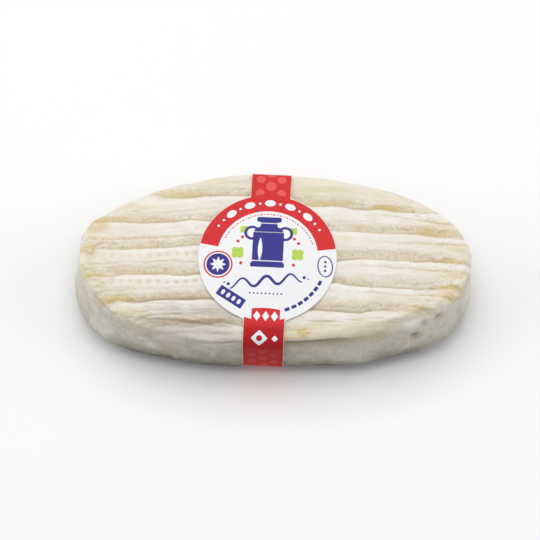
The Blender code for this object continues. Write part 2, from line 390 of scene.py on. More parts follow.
def noise(place, seed):
    """Smooth random value from -1 to 1 at places (..., 3).

    Each whole-numbered corner has a random value, and a place gets the eased mean of the
    eight corners round it.
    """
    table = np.random.default_rng(seed).uniform(-1, 1, (TABLE_SIDE,) * 3)
    place = np.asarray(place) + FAR_START
    cell = np.floor(place).astype(int)
    share = eased(place - cell)
    total = 0
    for corner in np.ndindex(2, 2, 2):
        weight = np.prod(np.where(corner, share, 1 - share), -1)
        index = (cell + corner) % TABLE_SIDE
        total = total + weight * table[index[..., 0], index[..., 1], index[..., 2]]
    return total


def layered(place, seed, layers=3):
    """Noise plus finer layers, each about half as large in size and in strength."""
    total = 0
    for layer in range(layers):
        total = total + noise(place * FINER**layer, seed + layer) * 0.5**layer
    return total


def stretched(points, *sizes):
    """Places for noise whose blobs have these sizes in mm along x, y and z."""
    return points / (MM * np.array(sizes))


print("noise at one place:", round(float(noise(np.zeros((1, 3)), 1)[0]), 3))

# %% [markdown]
# ## Furrows that wander and a rim that is not true
# On the real cheese the furrows swerve by a millimetre where the mat was bent, and the
# rim is pushed in or bulges in a few places. The grid could be dragged with a proportional
# edit or a lattice. A short table of places and shifts does the same and can be read: each
# place moves with a round hill of influence, and the grid follows.

# %% Shifts of the furrows
# x, y, reach along x, reach along y and shift in mm, towards the front where negative
DRIFTS = (
    (-34, 20.5, 15, 3.5, -1.1),
    (-33, 3.5, 15, 4.0, -0.9),
    (-26, -6.0, 8, 3.5, -1.5),
    (-57, -6.5, 6, 3.5, -0.8),
    (-45, -15.5, 9, 3.0, -0.6),
    (14, 19.5, 6, 3.0, -0.8),
    (28, 17.5, 9, 3.5, -0.9),
    (19, 0.0, 9, 3.5, -1.6),
    (40, -10.5, 18, 3.0, -0.8),
    (22, -18.5, 10, 3.0, -1.4),
)
STILL_RIM = 0.08

px, py, pz = points[..., 0], points[..., 1], points[..., 2]
edge_share = reach_at_rim(px, py)
drift = 0 * px
for x, y, reach_x, reach_y, shift in DRIFTS:
    drift += shift * MM * bump(px, x * MM, reach_x * MM) * bump(py, y * MM, reach_y * MM)
py += drift * climb(edge_share, 1, 1 - STILL_RIM) * (on_rib == 1)
print(f"the furrows move by up to {np.abs(drift).max() / MM:.1f} mm")

# %% Shifts of the rim
# Angle round the oval and half width in degrees, and shift outward in mm
RIM_SHIFTS = (
    (157, 5, 0.90),
    (151.5, 3.5, 0.90),
    (144, 9, -0.60),
    (122, 8, -0.40),
    (15, 7, -0.35),
    (5, 4, 0.35),
)
SHIFT_HEIGHTS = 4 * MM, 14 * MM
SHIFT_FALLOFF = 6
NO_LENGTH = 1e-9

turn = np.degrees(np.arctan2(py / WIDTH, px / LENGTH)) % 360


def near_turn(at, width):
    """A round hill along the oval, centred on an angle in degrees, the short way round."""
    return bump((turn - at + 180) % 360 - 180, 0, width)


away_plan = np.stack([px / LENGTH**2, py / WIDTH**2], -1)
away_plan /= np.maximum(np.linalg.norm(away_plan, axis=-1, keepdims=True), NO_LENGTH)
rim_shift = sum(shift * MM * near_turn(at, width) for at, width, shift in RIM_SHIFTS)
rim_shift *= np.clip(edge_share, 0, 1) ** SHIFT_FALLOFF * climb(pz, *SHIFT_HEIGHTS)
points[..., :2] += away_plan * rim_shift[..., None]
print(f"the rim moves from {rim_shift.min() / MM:.2f} to {rim_shift.max() / MM:.2f} mm")

# %% [markdown]
# ## Where each point lies
# The finer marks belong to parts of the cheese: the crests, the front flanks, the left half
# with its thread marks, the plain side. In Blender these would be vertex groups that are
# painted by hand. Here each is a formula that gives every point a share from 0 to 1, so a
# mark can be multiplied by the part it belongs to.

# %% Shares of each part
TOP_TILT = 0.25, 0.65
SIDE_TILT = 0.85, 0.35
UNDER_TILT = 0.50, 0.90
NOT_FLAT = 1, 0.98
EDGE_RIB = 0.04
RIM_START = 0.86
LEFT_SIDE = -12 * MM, -22 * MM
ENDS = 42 * MM, 56 * MM
REAR = -2 * MM, 8 * MM
# Angle and half width in degrees
FRONT_LEFT = 232, 30
DOWNY_FRONT = 236, 38
RIGHT_FRONT = 318, 18

tilt = normals[..., 2]
top_share = climb(tilt, *TOP_TILT)
side_share = climb(np.abs(tilt), *SIDE_TILT)
under_share = climb(-tilt, *UNDER_TILT)
on_side = climb(tilt, *NOT_FLAT)
among_ribs = climb(count, 0, EDGE_RIB) * climb(count, LAST, LAST - EDGE_RIB)
rib_top = top_share * on_rib
rim_reach = reach_at_rim(px, py)
near_rim = climb(rim_reach, RIM_START, 1)
left_side = climb(px, *LEFT_SIDE)
ends = climb(np.abs(px), *ENDS)
rear = climb(py, *REAR)
front_left = near_turn(*FRONT_LEFT)
downy_front = near_turn(*DOWNY_FRONT)
right_front = near_turn(*RIGHT_FRONT)
print(f"the top is {top_share.mean():.0%} of the points, the side {side_share.mean():.0%}")

# %% Place within a rib
TINY = 1e-6
DEPTH_SIZE = 12 * MM
DEPTH_STEP = 1.3
DEPTH_SEED = 13

rib = np.floor(np.clip(count, 0, LAST - TINY))
share = count - rib
pitch = rib_line(px, rib + 1) - rib_line(px, rib)
from_back = (rib + 1 - count) * pitch


def rib_noise(size, step, seed, shift=0):
    """Noise along each rib with blobs of a size in mm, and different on every rib."""
    return noise(np.stack([px / (size * MM), step * rib + shift, 0 * px], -1), seed)


row_noise = rib_noise(size=9, step=3.7, seed=11)
row_patch = rib_noise(size=16, step=5.3, seed=12, shift=2)
quick_wave = rib_noise(size=4.2, step=2.9, seed=14)
uneven = rib_noise(size=13, step=4.1, seed=51)
depth_noise = noise(np.stack([px / DEPTH_SIZE, DEPTH_STEP * count, 0 * px], -1), DEPTH_SEED)
on_top = on_rib == 1
print(f"ribs are {pitch[on_top].min() / MM:.1f} to {pitch[on_top].max() / MM:.1f} mm wide")

# %% Grains of the rind
PIT_RANGE = 0.3, 0.8
CRUMB_RANGE = 0.1, 0.7


def rind_grain(*sizes, seed, layers=3):
    """Layered noise on the whole rind, with blobs of these sizes in mm along x, y and z."""
    return layered(stretched(points, *sizes), seed, layers)


rough = rind_grain(1.6, 1.0, 1.0, seed=21, layers=2)
pits = climb(rind_grain(1.3, 1.0, 1.0, seed=31, layers=2), *PIT_RANGE)
fine = rind_grain(0.9, 0.7, 0.7, seed=41, layers=2)
weave = rind_grain(6.0, 1.0, 1.0, seed=45, layers=2)
lumps = rind_grain(16, 12, 10, seed=61)
small_lumps = rind_grain(4.5, 3.5, 3.5, seed=71, layers=2)
wander = rind_grain(7.5, 6.0, 6.0, seed=77)
foot_lumps = rind_grain(8.5, 8.5, 20, seed=79, layers=2)
blotch = rind_grain(6, 3, 4, seed=81)
smear = rind_grain(12, 1.6, 3, seed=91)
cloud = rind_grain(7.5, 7.5, 6, seed=151)
crumbs = climb(rind_grain(1.6, 1.4, 1.4, seed=161, layers=2), *CRUMB_RANGE)
down = rind_grain(2.1, 2.1, 1.8, seed=171)
felt = rind_grain(2.5, 2.5, 2.2, seed=181)
print(f"the lumps go from {lumps.min():.1f} to {lumps.max():.1f}, the down to {down.max():.1f}")

# %% [markdown]
# ## Puffed ribs
# The curd swelled between the threads, so the real ribs are full and round with narrow
# furrows, deeper on the right half and soft near the rim. They could be inflated with a
# sculpting brush. Here the solid's plain ribs are taken away and a fuller profile is put
# in their place. All the relief is gathered in one array, which says how far each point
# moves along its normal, so that later steps only add to it.

# %% Puffed ribs
PUFF_FRONT = 0.50
PUFF_BACK = 0.17
PUFF_DEPTH = 1.05 * MM
PUFF_UNEVEN = 0.22 * MM
PUFF_LEFT = 0.18 * MM
RIB_UNEVEN = 0.125 * MM
MEAN_DROP = 0.35 * MM
RIM_SOFT = 0.9
FRONT_SOFT = 0.65
FRONT_SOFT_REACH = 0.62, 0.87
BACK_SOFT = 0.55
BACK_RIB = 0.3


def filled(share, width):
    """Rises from 0 to 1 over the width, fast at first: one less the square of what is left."""
    return 1 - (1 - np.clip(share / width, 0, 1)) ** 2


puff_depth = PUFF_DEPTH + PUFF_UNEVEN * depth_noise - PUFF_LEFT * left_side
puff = puff_depth * (1 - filled(share, PUFF_FRONT) * filled(1 - share, PUFF_BACK))
soft = np.maximum(RIM_SOFT * near_rim, RIM_SOFT * (1 - rib_top))
soft = np.maximum(soft, FRONT_SOFT * front_left * climb(rim_reach, *FRONT_SOFT_REACH))
soft = np.maximum(soft, BACK_SOFT * climb(count, LAST - BACK_RIB, LAST))
puff += (MEAN_DROP - puff) * soft
relief = on_rib * (rib_drop(count) - puff + RIB_UNEVEN * (uneven - 1))
print(f"furrows are up to {puff.max() / MM:.1f} mm deep")

# %% [markdown]
# ## Marks of the threads
# Along the left ribs the mat's weft left rows of short notches 3 mm apart, and both halves
# have a fine line beside some furrows. A brush texture could stamp them. A cosine along the
# rib, cubed so that its peaks become narrow, gives evenly spaced notches, and a hill across
# the rib keeps them in their row. The slow noises let the row sway and fade.

# %% Notches along the left ribs
NOTCH_STEP = 3.0 * MM
NOTCH_ROW = 3.1 * MM
NOTCH_REACH = 0.7 * MM
NOTCH_SWAY = 0.4 * MM
NOTCH_FILL = 0.6
NOTCH_DEPTH = 0.55 * MM
# Ribs counted from the front, and the strength of the notches on each
NOTCHED_RIBS = 1, 2, 3, 4, 5
NOTCHED_BY = 0.0, 1.0, 1.0, 0.35, 0.0

cycle = (1 + np.cos(2 * math.pi * (px + NOTCH_SWAY * row_patch) / NOTCH_STEP)) / 2
notches = cycle**3 * bump(from_back, NOTCH_ROW + NOTCH_SWAY * row_noise, NOTCH_REACH)
notches *= left_side * eased(NOTCH_FILL + row_patch) * np.interp(rib, NOTCHED_RIBS, NOTCHED_BY)
print(f"{(notches > 0.5).sum()} points lie deep in a notch")

# %% Lines beside the furrows
LINE_REACH = 0.35 * MM
LINE_DEPTH = 0.22 * MM
LEFT_LINE = 5.4 * MM
RIGHT_LINE = 3.1 * MM
RIGHT_LINE_REACH = 22 * MM, 42 * MM
# How far each line sways slowly and quivers quickly, in mm
LEFT_SWAY, LEFT_QUIVER = 0.4, 0.22
RIGHT_SWAY, RIGHT_QUIVER = 0.5, 0.15
LINE_FILL = 0.75
WAVY_RIB = 4
WAVY_STRENGTH = 1.6
PLAIN_STRENGTH = 0.9

wavy = rib == WAVY_RIB
left_place = LEFT_LINE + MM * (LEFT_SWAY * depth_noise + LEFT_QUIVER * quick_wave)
left_line = bump(from_back, left_place, LINE_REACH) * left_side
left_line *= eased(LINE_FILL + depth_noise + wavy) * np.where(wavy, WAVY_STRENGTH, PLAIN_STRENGTH)
right_place = RIGHT_LINE + MM * (RIGHT_SWAY * row_noise + RIGHT_QUIVER * quick_wave)
right_line = bump(from_back, right_place, LINE_REACH) * climb(px, *RIGHT_LINE_REACH)
relief -= rib_top * (NOTCH_DEPTH * notches + LINE_DEPTH * (left_line + right_line))
print(f"lines lie {LEFT_LINE / MM} mm and {RIGHT_LINE / MM} mm in front of their furrows")

# %% [markdown]
# ## Rough flanks, lumps and down
# The front flank of each rib is torn and pitted, the ribs end in crumbs at both ends, and
# the side is lumpy and covered in mould like down, thickest at the front left. These could
# be displacement textures in the material. They are put into the form, because the light
# that grazes the side then shades each lump. Every kind gets a depth of its own.

# %% Rough flanks and crumbs
FLANK_SHARE = 0.42
FLANK_SWAY = 0.06
FLANK_FADE = 0.30
ROUGH_DEPTH = 0.10 * MM
PIT_DEPTH = 0.14 * MM
TOP_ROUGH = 0.06 * MM
WEAVE_DEPTH = 0.09 * MM
TOP_LUMP = 0.08 * MM
CRUMB_HEIGHT = 0.42 * MM
CRUMB_MEAN = 0.4
CRUMB_REACH = 0.80, 0.92
CRUMB_ENDS = 36 * MM, 48 * MM

flank = eased((FLANK_SHARE + FLANK_SWAY * row_noise - share) / FLANK_FADE) * among_ribs
relief += on_rib * flank * (ROUGH_DEPTH * rough - PIT_DEPTH * pits)
relief += rib_top * (TOP_ROUGH * rough + WEAVE_DEPTH * weave + TOP_LUMP * small_lumps)
rib_end = climb(edge_share, *CRUMB_REACH) * climb(np.abs(px), *CRUMB_ENDS)
relief += rib_end * rib_top * CRUMB_HEIGHT * (crumbs - CRUMB_MEAN)
print(f"crumbs cover {(rib_end * rib_top > 0.5).mean():.0%} of the points")

# %% Lumps and down of the side
LUMP_DEPTH = 0.55 * MM
LUMP_MEAN = 0.2
SMALL_LUMP = 0.18 * MM
FINE_GRAIN = 0.06 * MM
DOWN_THIN = 0.09 * MM
DOWN_THICK = 0.11 * MM
FOOT_LUMP = 0.45 * MM
FOOT_LUMP_HEIGHT = 3.5 * MM

side_relief = LUMP_DEPTH * (lumps - LUMP_MEAN) + SMALL_LUMP * small_lumps + FINE_GRAIN * fine
side_relief += (DOWN_THIN + DOWN_THICK * downy_front) * down
side_relief += FOOT_LUMP * bump(pz, FOOT_LUMP_HEIGHT, FOOT_LUMP_HEIGHT) * foot_lumps
relief += side_share * side_relief
print(f"the side's lumps rise to {side_relief.max() / MM:.1f} mm")

# %% [markdown]
# ## Folds and wrinkles
# Where the rind was pushed together at the front, it has long folds, sharp furrows and a
# patch of fine wrinkles. Folds could be drawn as curves and swept. A hill across the
# distance to a line gives the same form, straight in the grid. Wrinkles lie where a
# stretched noise crosses zero, since such crossings are long, thin and never meet neatly.

# %% Folds
# x and y of both ends, half width and height, all in mm; a furrow's height is negative
FOLDS = (
    (-42, -19.6, -20, -18.7, 0.8, 0.40),
    (-43, -21.2, -27, -21.9, 0.40, -0.45),
    (-34, -18.6, -16, -18.4, 0.40, -0.40),
    (-29, -22.2, -13, -24.2, 0.55, -0.75),
    (-22, -20.9, -9, -22.2, 0.8, 0.45),
    (-24, -24.6, -10, -26.2, 0.8, 0.45),
    (-22, -25.9, -12, -27.2, 0.45, -0.35),
    (-47, -15.8, -30, -16.4, 0.5, -0.20),
    (12, -17.2, 33, -17.8, 0.28, -0.30),
    (10, -22.3, 22, -22.6, 0.30, -0.30),
    (24, -20.6, 40, -19.6, 0.30, -0.20),
)
FOLD_SWAY = 0.35 * MM
FOLD_ENDS = 0.06, 0.94
FOLD_HEIGHTS = 15 * MM, 19 * MM
FOLD_SHADE = 1.2


def fold_shape(x0, y0, x1, y1, half):
    """A hill of the distance to the line between two ends, times a taper along it.

    The taper is the square root of a sine that is nearly 0 at both ends.
    """
    span = np.array([x1 - x0, y1 - y0]) * MM
    gap_x, gap_y = px - x0 * MM, py - y0 * MM + FOLD_SWAY * wander
    place = np.clip((gap_x * span[0] + gap_y * span[1]) / (span @ span), 0, 1)
    gap = np.hypot(gap_x - place * span[0], gap_y - place * span[1])
    return np.sin(math.pi * np.clip(place, *FOLD_ENDS)) ** 0.5 * bump(gap, 0, half * MM)


crease_brown_and_shade = 0 * px
for *line, height in FOLDS:
    fold = fold_shape(*line)
    relief += height * MM * fold * climb(pz, *FOLD_HEIGHTS)
    # a fold's furrow is darkened with brown and painted shade
    crease_brown_and_shade = np.maximum(crease_brown_and_shade, -FOLD_SHADE * height * fold)
print("folds and furrows at the front:", len(FOLDS))

# %% Wrinkles
# Wrinkled places: x, y, reach along x, reach along y and depth, all in mm
WRINKLES = (
    (-30, -21.5, 17, 4.5, 0.42),
    (-14, -26.0, 10, 3.5, 0.25),
    (27, -19.5, 17, 3.5, 0.14),
    (52, -12.0, 10, 6.0, 0.15),
    (-54, -8.0, 8, 14.0, 0.15),
)
WRINKLE_SIZES = 8.5, 1.9, 3.0
WRINKLE_SEED = 141
WRINKLE_SWAY = 0.6 * MM
WRINKLE_WIDTH = 0.28
WRINKLE_MEAN = 0.3
WRINKLE_SHADE = 1.3
WRINKLE_EDGE = 1.5
PLAIN_WRINKLE = 0.06
SIDE_WRINKLE = 0.22
SIDE_WRINKLED = 316, 14
# A mask counts as seen above this value when it is printed
SEEN = 0.3


def away_from(x, y, reach_x, reach_y):
    """Distance in plan from a place in mm, counted in reaches along x and along y."""
    return np.hypot((px - x * MM) / (reach_x * MM), (py - y * MM) / (reach_y * MM))


swayed = points + WRINKLE_SWAY * wander[..., None]
crossing = np.abs(layered(stretched(swayed, *WRINKLE_SIZES), WRINKLE_SEED))
wrinkle = eased(1 - crossing / WRINKLE_WIDTH)
wrinkled = PLAIN_WRINKLE + 0 * px
for *place, depth in WRINKLES:
    wrinkled = np.maximum(wrinkled, depth * eased(WRINKLE_EDGE - away_from(*place)))
side_wrinkle = SIDE_WRINKLE * near_turn(*SIDE_WRINKLED) * side_share
relief -= (wrinkled * top_share + side_wrinkle) * MM * (wrinkle - WRINKLE_MEAN)
# wrinkles are darkened with brown and painted shade
crease_brown_and_shade = np.maximum(crease_brown_and_shade, WRINKLE_SHADE * (wrinkled - PLAIN_WRINKLE) * wrinkle * top_share)
print(f"{(crease_brown_and_shade > SEEN).sum()} points lie in a furrow or a wrinkle")

# %% [markdown]
# ## Lips, hollows and dents
# The side has a lip under the front rim with a crease below it, hollows where the cheese
# was gripped, and small dents on the right. Each could be pushed in by hand. Bands are
# hills along the oval times hills up the side, and dents are hills round a point of the
# side, each with a faint raised ring. They stay where they are named when sizes change.

# %% Bands round the side
# Angle and half width in degrees; height, spread and relief in mm
BANDS = (
    (282, 15, 23.0, 1.4, 0.80),
    (282, 14, 20.9, 1.0, -1.20),
    (311, 11, 23.4, 1.2, -0.45),
    (311, 12, 19.0, 2.5, 0.40),
    (213, 14, 21.4, 0.50, -0.45),
    (208, 20, 22.9, 0.9, 0.30),
    (219, 9, 20.0, 0.45, -0.35),
    (256, 11, 22.0, 0.5, -0.60),
    (256, 11, 23.2, 0.7, 0.30),
    (336, 12, 22.9, 1.3, 0.60),
    (340, 12, 21.0, 1.2, -0.30),
    (232, 13, 4.5, 4.5, 0.65),
    (272, 14, 4.0, 4.0, 0.15),
    (280, 6, 5.0, 5.0, -0.30),
    (297, 9, 5.0, 5.0, 0.40),
    (314, 11, 5.0, 5.0, 0.30),
    (322, 12, 6.0, 5.0, 0.60),
    (12, 10, 12.0, 8.0, -0.30),
    (163, 15, 8.0, 8.0, -2.00),
    (173, 6, 8.0, 8.0, -0.90),
    (144, 12, 6.0, 7.0, -1.00),
    (98, 11, 22.5, 3.0, 0.60),
)
BAND_SWAY = 0.45
BAND_SHADE = 0.9
# A wide hollow is open to the light, so little of it is dark
WIDE_BAND = 6.0
WIDE_SHADE = 0.1

for at, width, height, spread, rise in BANDS:
    above = level - (height + BAND_SWAY * wander) * MM
    band = on_side * near_turn(at, width) * bump(above, 0, spread * MM)
    relief += rise * MM * band
    # hollows and the crease under the lip are darkened with brown and painted shade
    hollow = -rise if spread < WIDE_BAND else min(-rise, WIDE_SHADE)
    crease_brown_and_shade = np.maximum(crease_brown_and_shade, BAND_SHADE * hollow * band)
print("lips, creases and hollows round the side:", len(BANDS))

# %% Dents
# Angle in degrees; height, radius and depth in mm
DENTS = (
    (311.0, 14.8, 1.5, 1.5),
    (315.3, 20.6, 1.1, 1.0),
    (321.3, 19.2, 1.8, 1.3),
    (328.0, 12.5, 3.6, 0.5),
    (300.0, 10.0, 4.0, 0.5),
    (286.0, 9.0, 3.2, 0.5),
    (262.0, 10.0, 3.0, 0.5),
    (250.0, 13.0, 2.4, 0.4),
    (228.0, 10.0, 4.5, 0.5),
)
DENT_RING = 1.7
DENT_RING_WIDTH = 0.6
DENT_RING_HEIGHT = 0.15
DENT_SHADE_FROM = 0.6
DENT_SHADE_WIDTH = 0.9

for at, height, radius, depth in DENTS:
    dent_x, dent_y = outline(np.array(math.radians(at)), 0.0, np.array(height * MM))
    gap = np.linalg.norm(points - np.array([dent_x, dent_y, height * MM]), axis=-1) / (radius * MM)
    ring_height = DENT_RING_HEIGHT * bump(gap, DENT_RING, DENT_RING_WIDTH)
    relief += side_share * MM * depth * (ring_height - bump(gap, 0, 1))
    # deep dents are darkened with brown and painted shade
    shade = side_share * (depth - DENT_SHADE_FROM) * bump(gap, 0, DENT_SHADE_WIDTH)
    crease_brown_and_shade = np.maximum(crease_brown_and_shade, shade)
relief *= 1 - under_share
print(f"relief goes from {relief.min() / MM:.1f} to {relief.max() / MM:.1f} mm")

# %% [markdown]
# ## Room for the paper
# The real paper lies on the crests and presses the rear side in a little. Two surfaces
# that cross would show through each other. A shrinkwrap could push one off the other, but
# a limit on the relief is simpler: under the paper no point may rise above its crest, and
# below the cheese the strap has a shallow bed, so that it never touches the floor.

# %% Room for the paper
LABEL_RADIUS = 0.0221
LABEL_X = -0.0013
LABEL_Y = -0.0009
BAND_TURN = math.radians(-2.8)
STRAP_WIDTH = 0.0130
CHANNEL_DEPTH = 0.0008
CHANNEL_CLEAR = 0.0004
CHANNEL_EDGE = 0.3 * MM
SQUEEZE = 0.0006
SQUEEZE_REACH = 12 * MM, 24 * MM
NEAR_BAND = 2 * MM
PAPER_CLEAR = 0.1 * MM
FREE_RISE = 1.4 * MM
SWAY = 0.45 * MM

across = np.array([math.cos(BAND_TURN), math.sin(BAND_TURN)])
along = np.array([-math.sin(BAND_TURN), math.cos(BAND_TURN)])
plan = np.stack([px - LABEL_X, py - LABEL_Y], -1)
strap_side = np.abs(plan @ across) - STRAP_WIDTH / 2
label_side = np.where(tilt > 0, np.linalg.norm(plan, axis=-1) - LABEL_RADIUS, 1)
free = climb(np.minimum(strap_side, label_side), 0, NEAR_BAND)
crest = rib_drop(count) * on_rib - PAPER_CLEAR - SQUEEZE * climb(py, *SQUEEZE_REACH) * on_side
relief = np.minimum(relief, crest + FREE_RISE * free)
surface = points + normals * relief[..., None]
surface[..., 1] += SWAY * wander * rib_top * (1 - near_rim)
bed = CHANNEL_DEPTH * climb(strap_side, CHANNEL_CLEAR, CHANNEL_CLEAR - CHANNEL_EDGE)
surface[..., 2] = np.maximum(surface[..., 2], np.where(tilt < 0, bed, 0))
print(f"the strap's bed is {bed.max() / MM} mm deep under {(bed > 0).mean():.0%} of the points")

# %% [markdown]
# ## Where the colours lie
# The real rind is cream white on its crests, tan in its furrows and on their front flanks,
# yellow in spots near the ends and the rim, mauve at the front left, brown where a furrow
# is deep, and grey down the side. Painted light is laid over these: shade as a dark line in
# each furrow, in the folds, wrinkles, dents and deep furrows, under the front lip, in part
# of the mauve and towards the foot, where the side turns near black; and a highlight along
# the back edge of each rib. Such a rind could be texture painted. Masks worked out at every
# point stay sharp at any distance and follow the form exactly, because they come from the
# same shares and noises. The material will mix one colour for each mask.

# %% Patches of mould
# x, y, reach along x and reach along y in mm, then strength; above 1 it is full to its edge
YELLOW_PATCHES = (
    (-57.0, 11.5, 5, 2.6, 1.0),
    (-50, 13.5, 8, 1.6, 0.6),
    (-58.7, 2.4, 3.2, 2.0, 1.3),
    (-57, -6.6, 4.0, 1.9, 0.9),
    (-54.5, -11.3, 3.0, 3.0, 0.6),
    (-59.3, -3.2, 2.5, 3.0, 0.4),
    (-50, -14.5, 6, 1.9, 0.85),
    (-44, -19.5, 7, 2.0, 0.6),
    (-30, 22.0, 12, 1.3, 0.5),
    (-48, 17.5, 7, 1.8, 0.5),
    (14, 23.5, 12, 1.8, 0.6),
    (38, 17.0, 7, 1.5, 0.9),
    (54, 9.0, 7, 2.2, 0.6),
    (60.5, 2.4, 5, 1.1, 0.6),
    (57, -1.6, 6, 1.3, 0.8),
    (58, -6.6, 6, 1.2, 0.7),
    (56, -10.8, 5, 1.3, 0.85),
    (56.6, -13.4, 4.5, 2.0, 1.3),
    (46.8, -17.5, 3.0, 0.9, 0.9),
    (20, 18.8, 9, 1.2, 0.6),
    (43, -20.0, 5, 1.2, 0.5),
    (16, -25.5, 22, 3.2, 0.6),
    (10, -26.0, 3.0, 2.4, 1.4),
    (30, -24.0, 10, 2.5, 0.5),
    (22, 21.0, 12, 2.5, 0.3),
)
# Mauve of the rind at the front left; the third patch, between the wrinkles and the rim, is painted
# shade.
MAUVE_PATCHES = (
    (-30, -22.7, 13, 1.8, 0.9),
    (-21, -22.2, 8, 1.4, 0.9),
    (-30, -25.4, 13, 1.6, 0.5),
    (-26, -19.0, 15, 1.4, 0.25),
    (-15, -22.3, 5, 2.2, 0.5),
)
# Places where a furrow is painted dark, with brown and painted shade
DEEP_PATCHES = (
    (-33, -14.6, 15, 3.0, 1.0),
    (27, -17.6, 14, 3.0, 0.6),
)
PATCH_EDGE = 1.35
PATCH_RAGGED = 0.35
YELLOW_HEIGHTS = 16.5 * MM, 20.5 * MM
MAUVE_HEIGHTS = 15 * MM, 20 * MM
YELLOW_MEAN, YELLOW_FLANK = 0.75, 0.5
YELLOW_LINE = 0.6
YELLOW_LINE_REACH = 40 * MM, 55 * MM
PALE_CRUMB = 0.4


def patches(table, heights):
    """The strongest of a table's patches: an eased step of the distance, ragged with noise."""
    total = 0 * px
    for *place, strength in table:
        inside = eased(PATCH_EDGE - away_from(*place) + PATCH_RAGGED * blotch)
        total = np.maximum(total, strength * inside)
    return total * climb(pz, *heights)


yellow = patches(YELLOW_PATCHES, YELLOW_HEIGHTS) * (YELLOW_MEAN + YELLOW_FLANK * flank)
yellow_line = YELLOW_LINE * right_line * on_rib * climb(px, *YELLOW_LINE_REACH)
yellow = np.maximum(yellow, yellow_line)
yellow *= 1 - PALE_CRUMB * crumbs * rib_end
mauve = patches(MAUVE_PATCHES, MAUVE_HEIGHTS)
print(f"yellow points: {(yellow > SEEN).mean():.1%}, mauve: {(mauve > SEEN).mean():.1%}")

# %% Furrows and flanks
# Spreads before and behind a furrow, as shares of a rib, and how strong the one behind is
FURROW_FRONT, FURROW_BEHIND = 0.05, 0.016
BEHIND = 0.5
# A mean and how much a noise adds to it
FURROW_MEAN, FURROW_PATCHY = 0.6, 0.5
TAN_MEAN, TAN_SMEAR = 0.85, 0.75
HIGHLIGHT_MEAN, HIGHLIGHT_PATCHY = 0.55, 0.35
# Shares that are lost on soft ribs and near the rim
FURROW_SOFT = 0.6
TAN_RIM = 0.5
LEFT_MARKS, RIGHT_MARKS = 0.8, 0.5
PIT_SHADE = 0.6
# Place and spread of the painted highlight along each rib's back edge, as shares of a rib from its
# back
HIGHLIGHT_PLACE = 0.13, 0.09

# The furrow mask is the rind's tan deepened by painted shade along the floor of each furrow.
furrow_line = bump(share, 0.0, FURROW_FRONT) + BEHIND * bump(1 - share, 0.0, FURROW_BEHIND)
furrow = np.clip(furrow_line * (FURROW_MEAN + FURROW_PATCHY * row_patch), 0, 1)
furrow = furrow * on_rib * among_ribs * (1 - FURROW_SOFT * soft)
tan = np.clip(flank * (TAN_MEAN + TAN_SMEAR * smear), 0, 1) * on_rib * (1 - TAN_RIM * near_rim)
marks = np.maximum(LEFT_MARKS * np.maximum(notches, left_line), RIGHT_MARKS * right_line)
tan = np.maximum(tan, marks * rib_top)
pit = PIT_SHADE * pits * flank * on_rib * among_ribs
# Painted highlight along the back edge of each rib, which faces the light from behind.
edge_highlight = bump(1 - share, *HIGHLIGHT_PLACE) * (HIGHLIGHT_MEAN + HIGHLIGHT_PATCHY * row_patch)
edge_highlight = edge_highlight * on_rib * among_ribs
print(f"dark furrow points: {(furrow > SEEN).mean():.0%}, tan: {(tan > SEEN).mean():.0%}")

# %% Warm rim
WARM_RIM = 0.5
WARM_REACH = 0.72, 0.97
WARM_REAR = 0.35
WARM_REAR_REACH = 12 * MM, 22 * MM
WARM_MEAN, WARM_SMEAR = 0.75, 0.6
COOL_FRONT = 270, 45

warm = WARM_RIM * climb(edge_share, *WARM_REACH) * (1 - front_left) * (1 - near_turn(*COOL_FRONT))
warm = np.maximum(warm, WARM_REAR * climb(py, *WARM_REAR_REACH))
warm = warm * eased(WARM_MEAN + WARM_SMEAR * smear)
print(f"the rim is warm on {(warm > SEEN).mean():.0%} of the points")

# %% Creases darkened by brown and painted shade
CREASE_MEAN, CREASE_PATCHY = 0.8, 0.4
CREASE_MOST = 0.9
# Angle and half width of the shade under the lip in degrees, then its place up the side
LIP_TURN = 283, 17
LIP_PLACE = 19.8 * MM, 2.6 * MM
LIP_HEIGHTS = 22.8 * MM, 21.8 * MM
LIP_SHADE = 0.50
LIP_CLOUD = 0.6
DEEP_SPREAD = 0.13
DEEP_SHADE = 0.6

# The crease mask is partly the rind's brown and partly painted shade; under the front lip and in
# the deep furrows it is painted shade.
crease_brown_and_shade = np.clip(crease_brown_and_shade * (CREASE_MEAN + CREASE_PATCHY * blotch), 0, CREASE_MOST)
under_lip = near_turn(*LIP_TURN) * bump(level, *LIP_PLACE) * climb(pz, *LIP_HEIGHTS)
crease_brown_and_shade = np.maximum(crease_brown_and_shade, LIP_SHADE * under_lip * (1 + LIP_CLOUD * cloud))
deep = bump(share, 0, DEEP_SPREAD) * patches(DEEP_PATCHES, MAUVE_HEIGHTS) * on_rib * among_ribs
crease_brown_and_shade = np.maximum(crease_brown_and_shade, DEEP_SHADE * deep)
print(f"creases are dark on {(crease_brown_and_shade > SEEN).mean():.1%} of the points")

# %% Grey side
GREY_DROP = 5.2 * MM
GREY_DROP_RIGHT = 1.6 * MM
GREY_DROP_REAR = 5.0 * MM
GREY_FADE = 4.2 * MM
GREY_FADE_RIGHT = 2.6 * MM
GREY_RAGGED = 1.4 * MM

grey_top = RIM_Z - GREY_DROP - GREY_DROP_RIGHT * right_front - GREY_DROP_REAR * rear
grey_fade = GREY_FADE + GREY_FADE_RIGHT * right_front
grey = 1 - eased((pz + GREY_RAGGED * blotch - grey_top) / grey_fade)
print(f"the grey starts {GREY_DROP / MM} mm below the rim at the front")

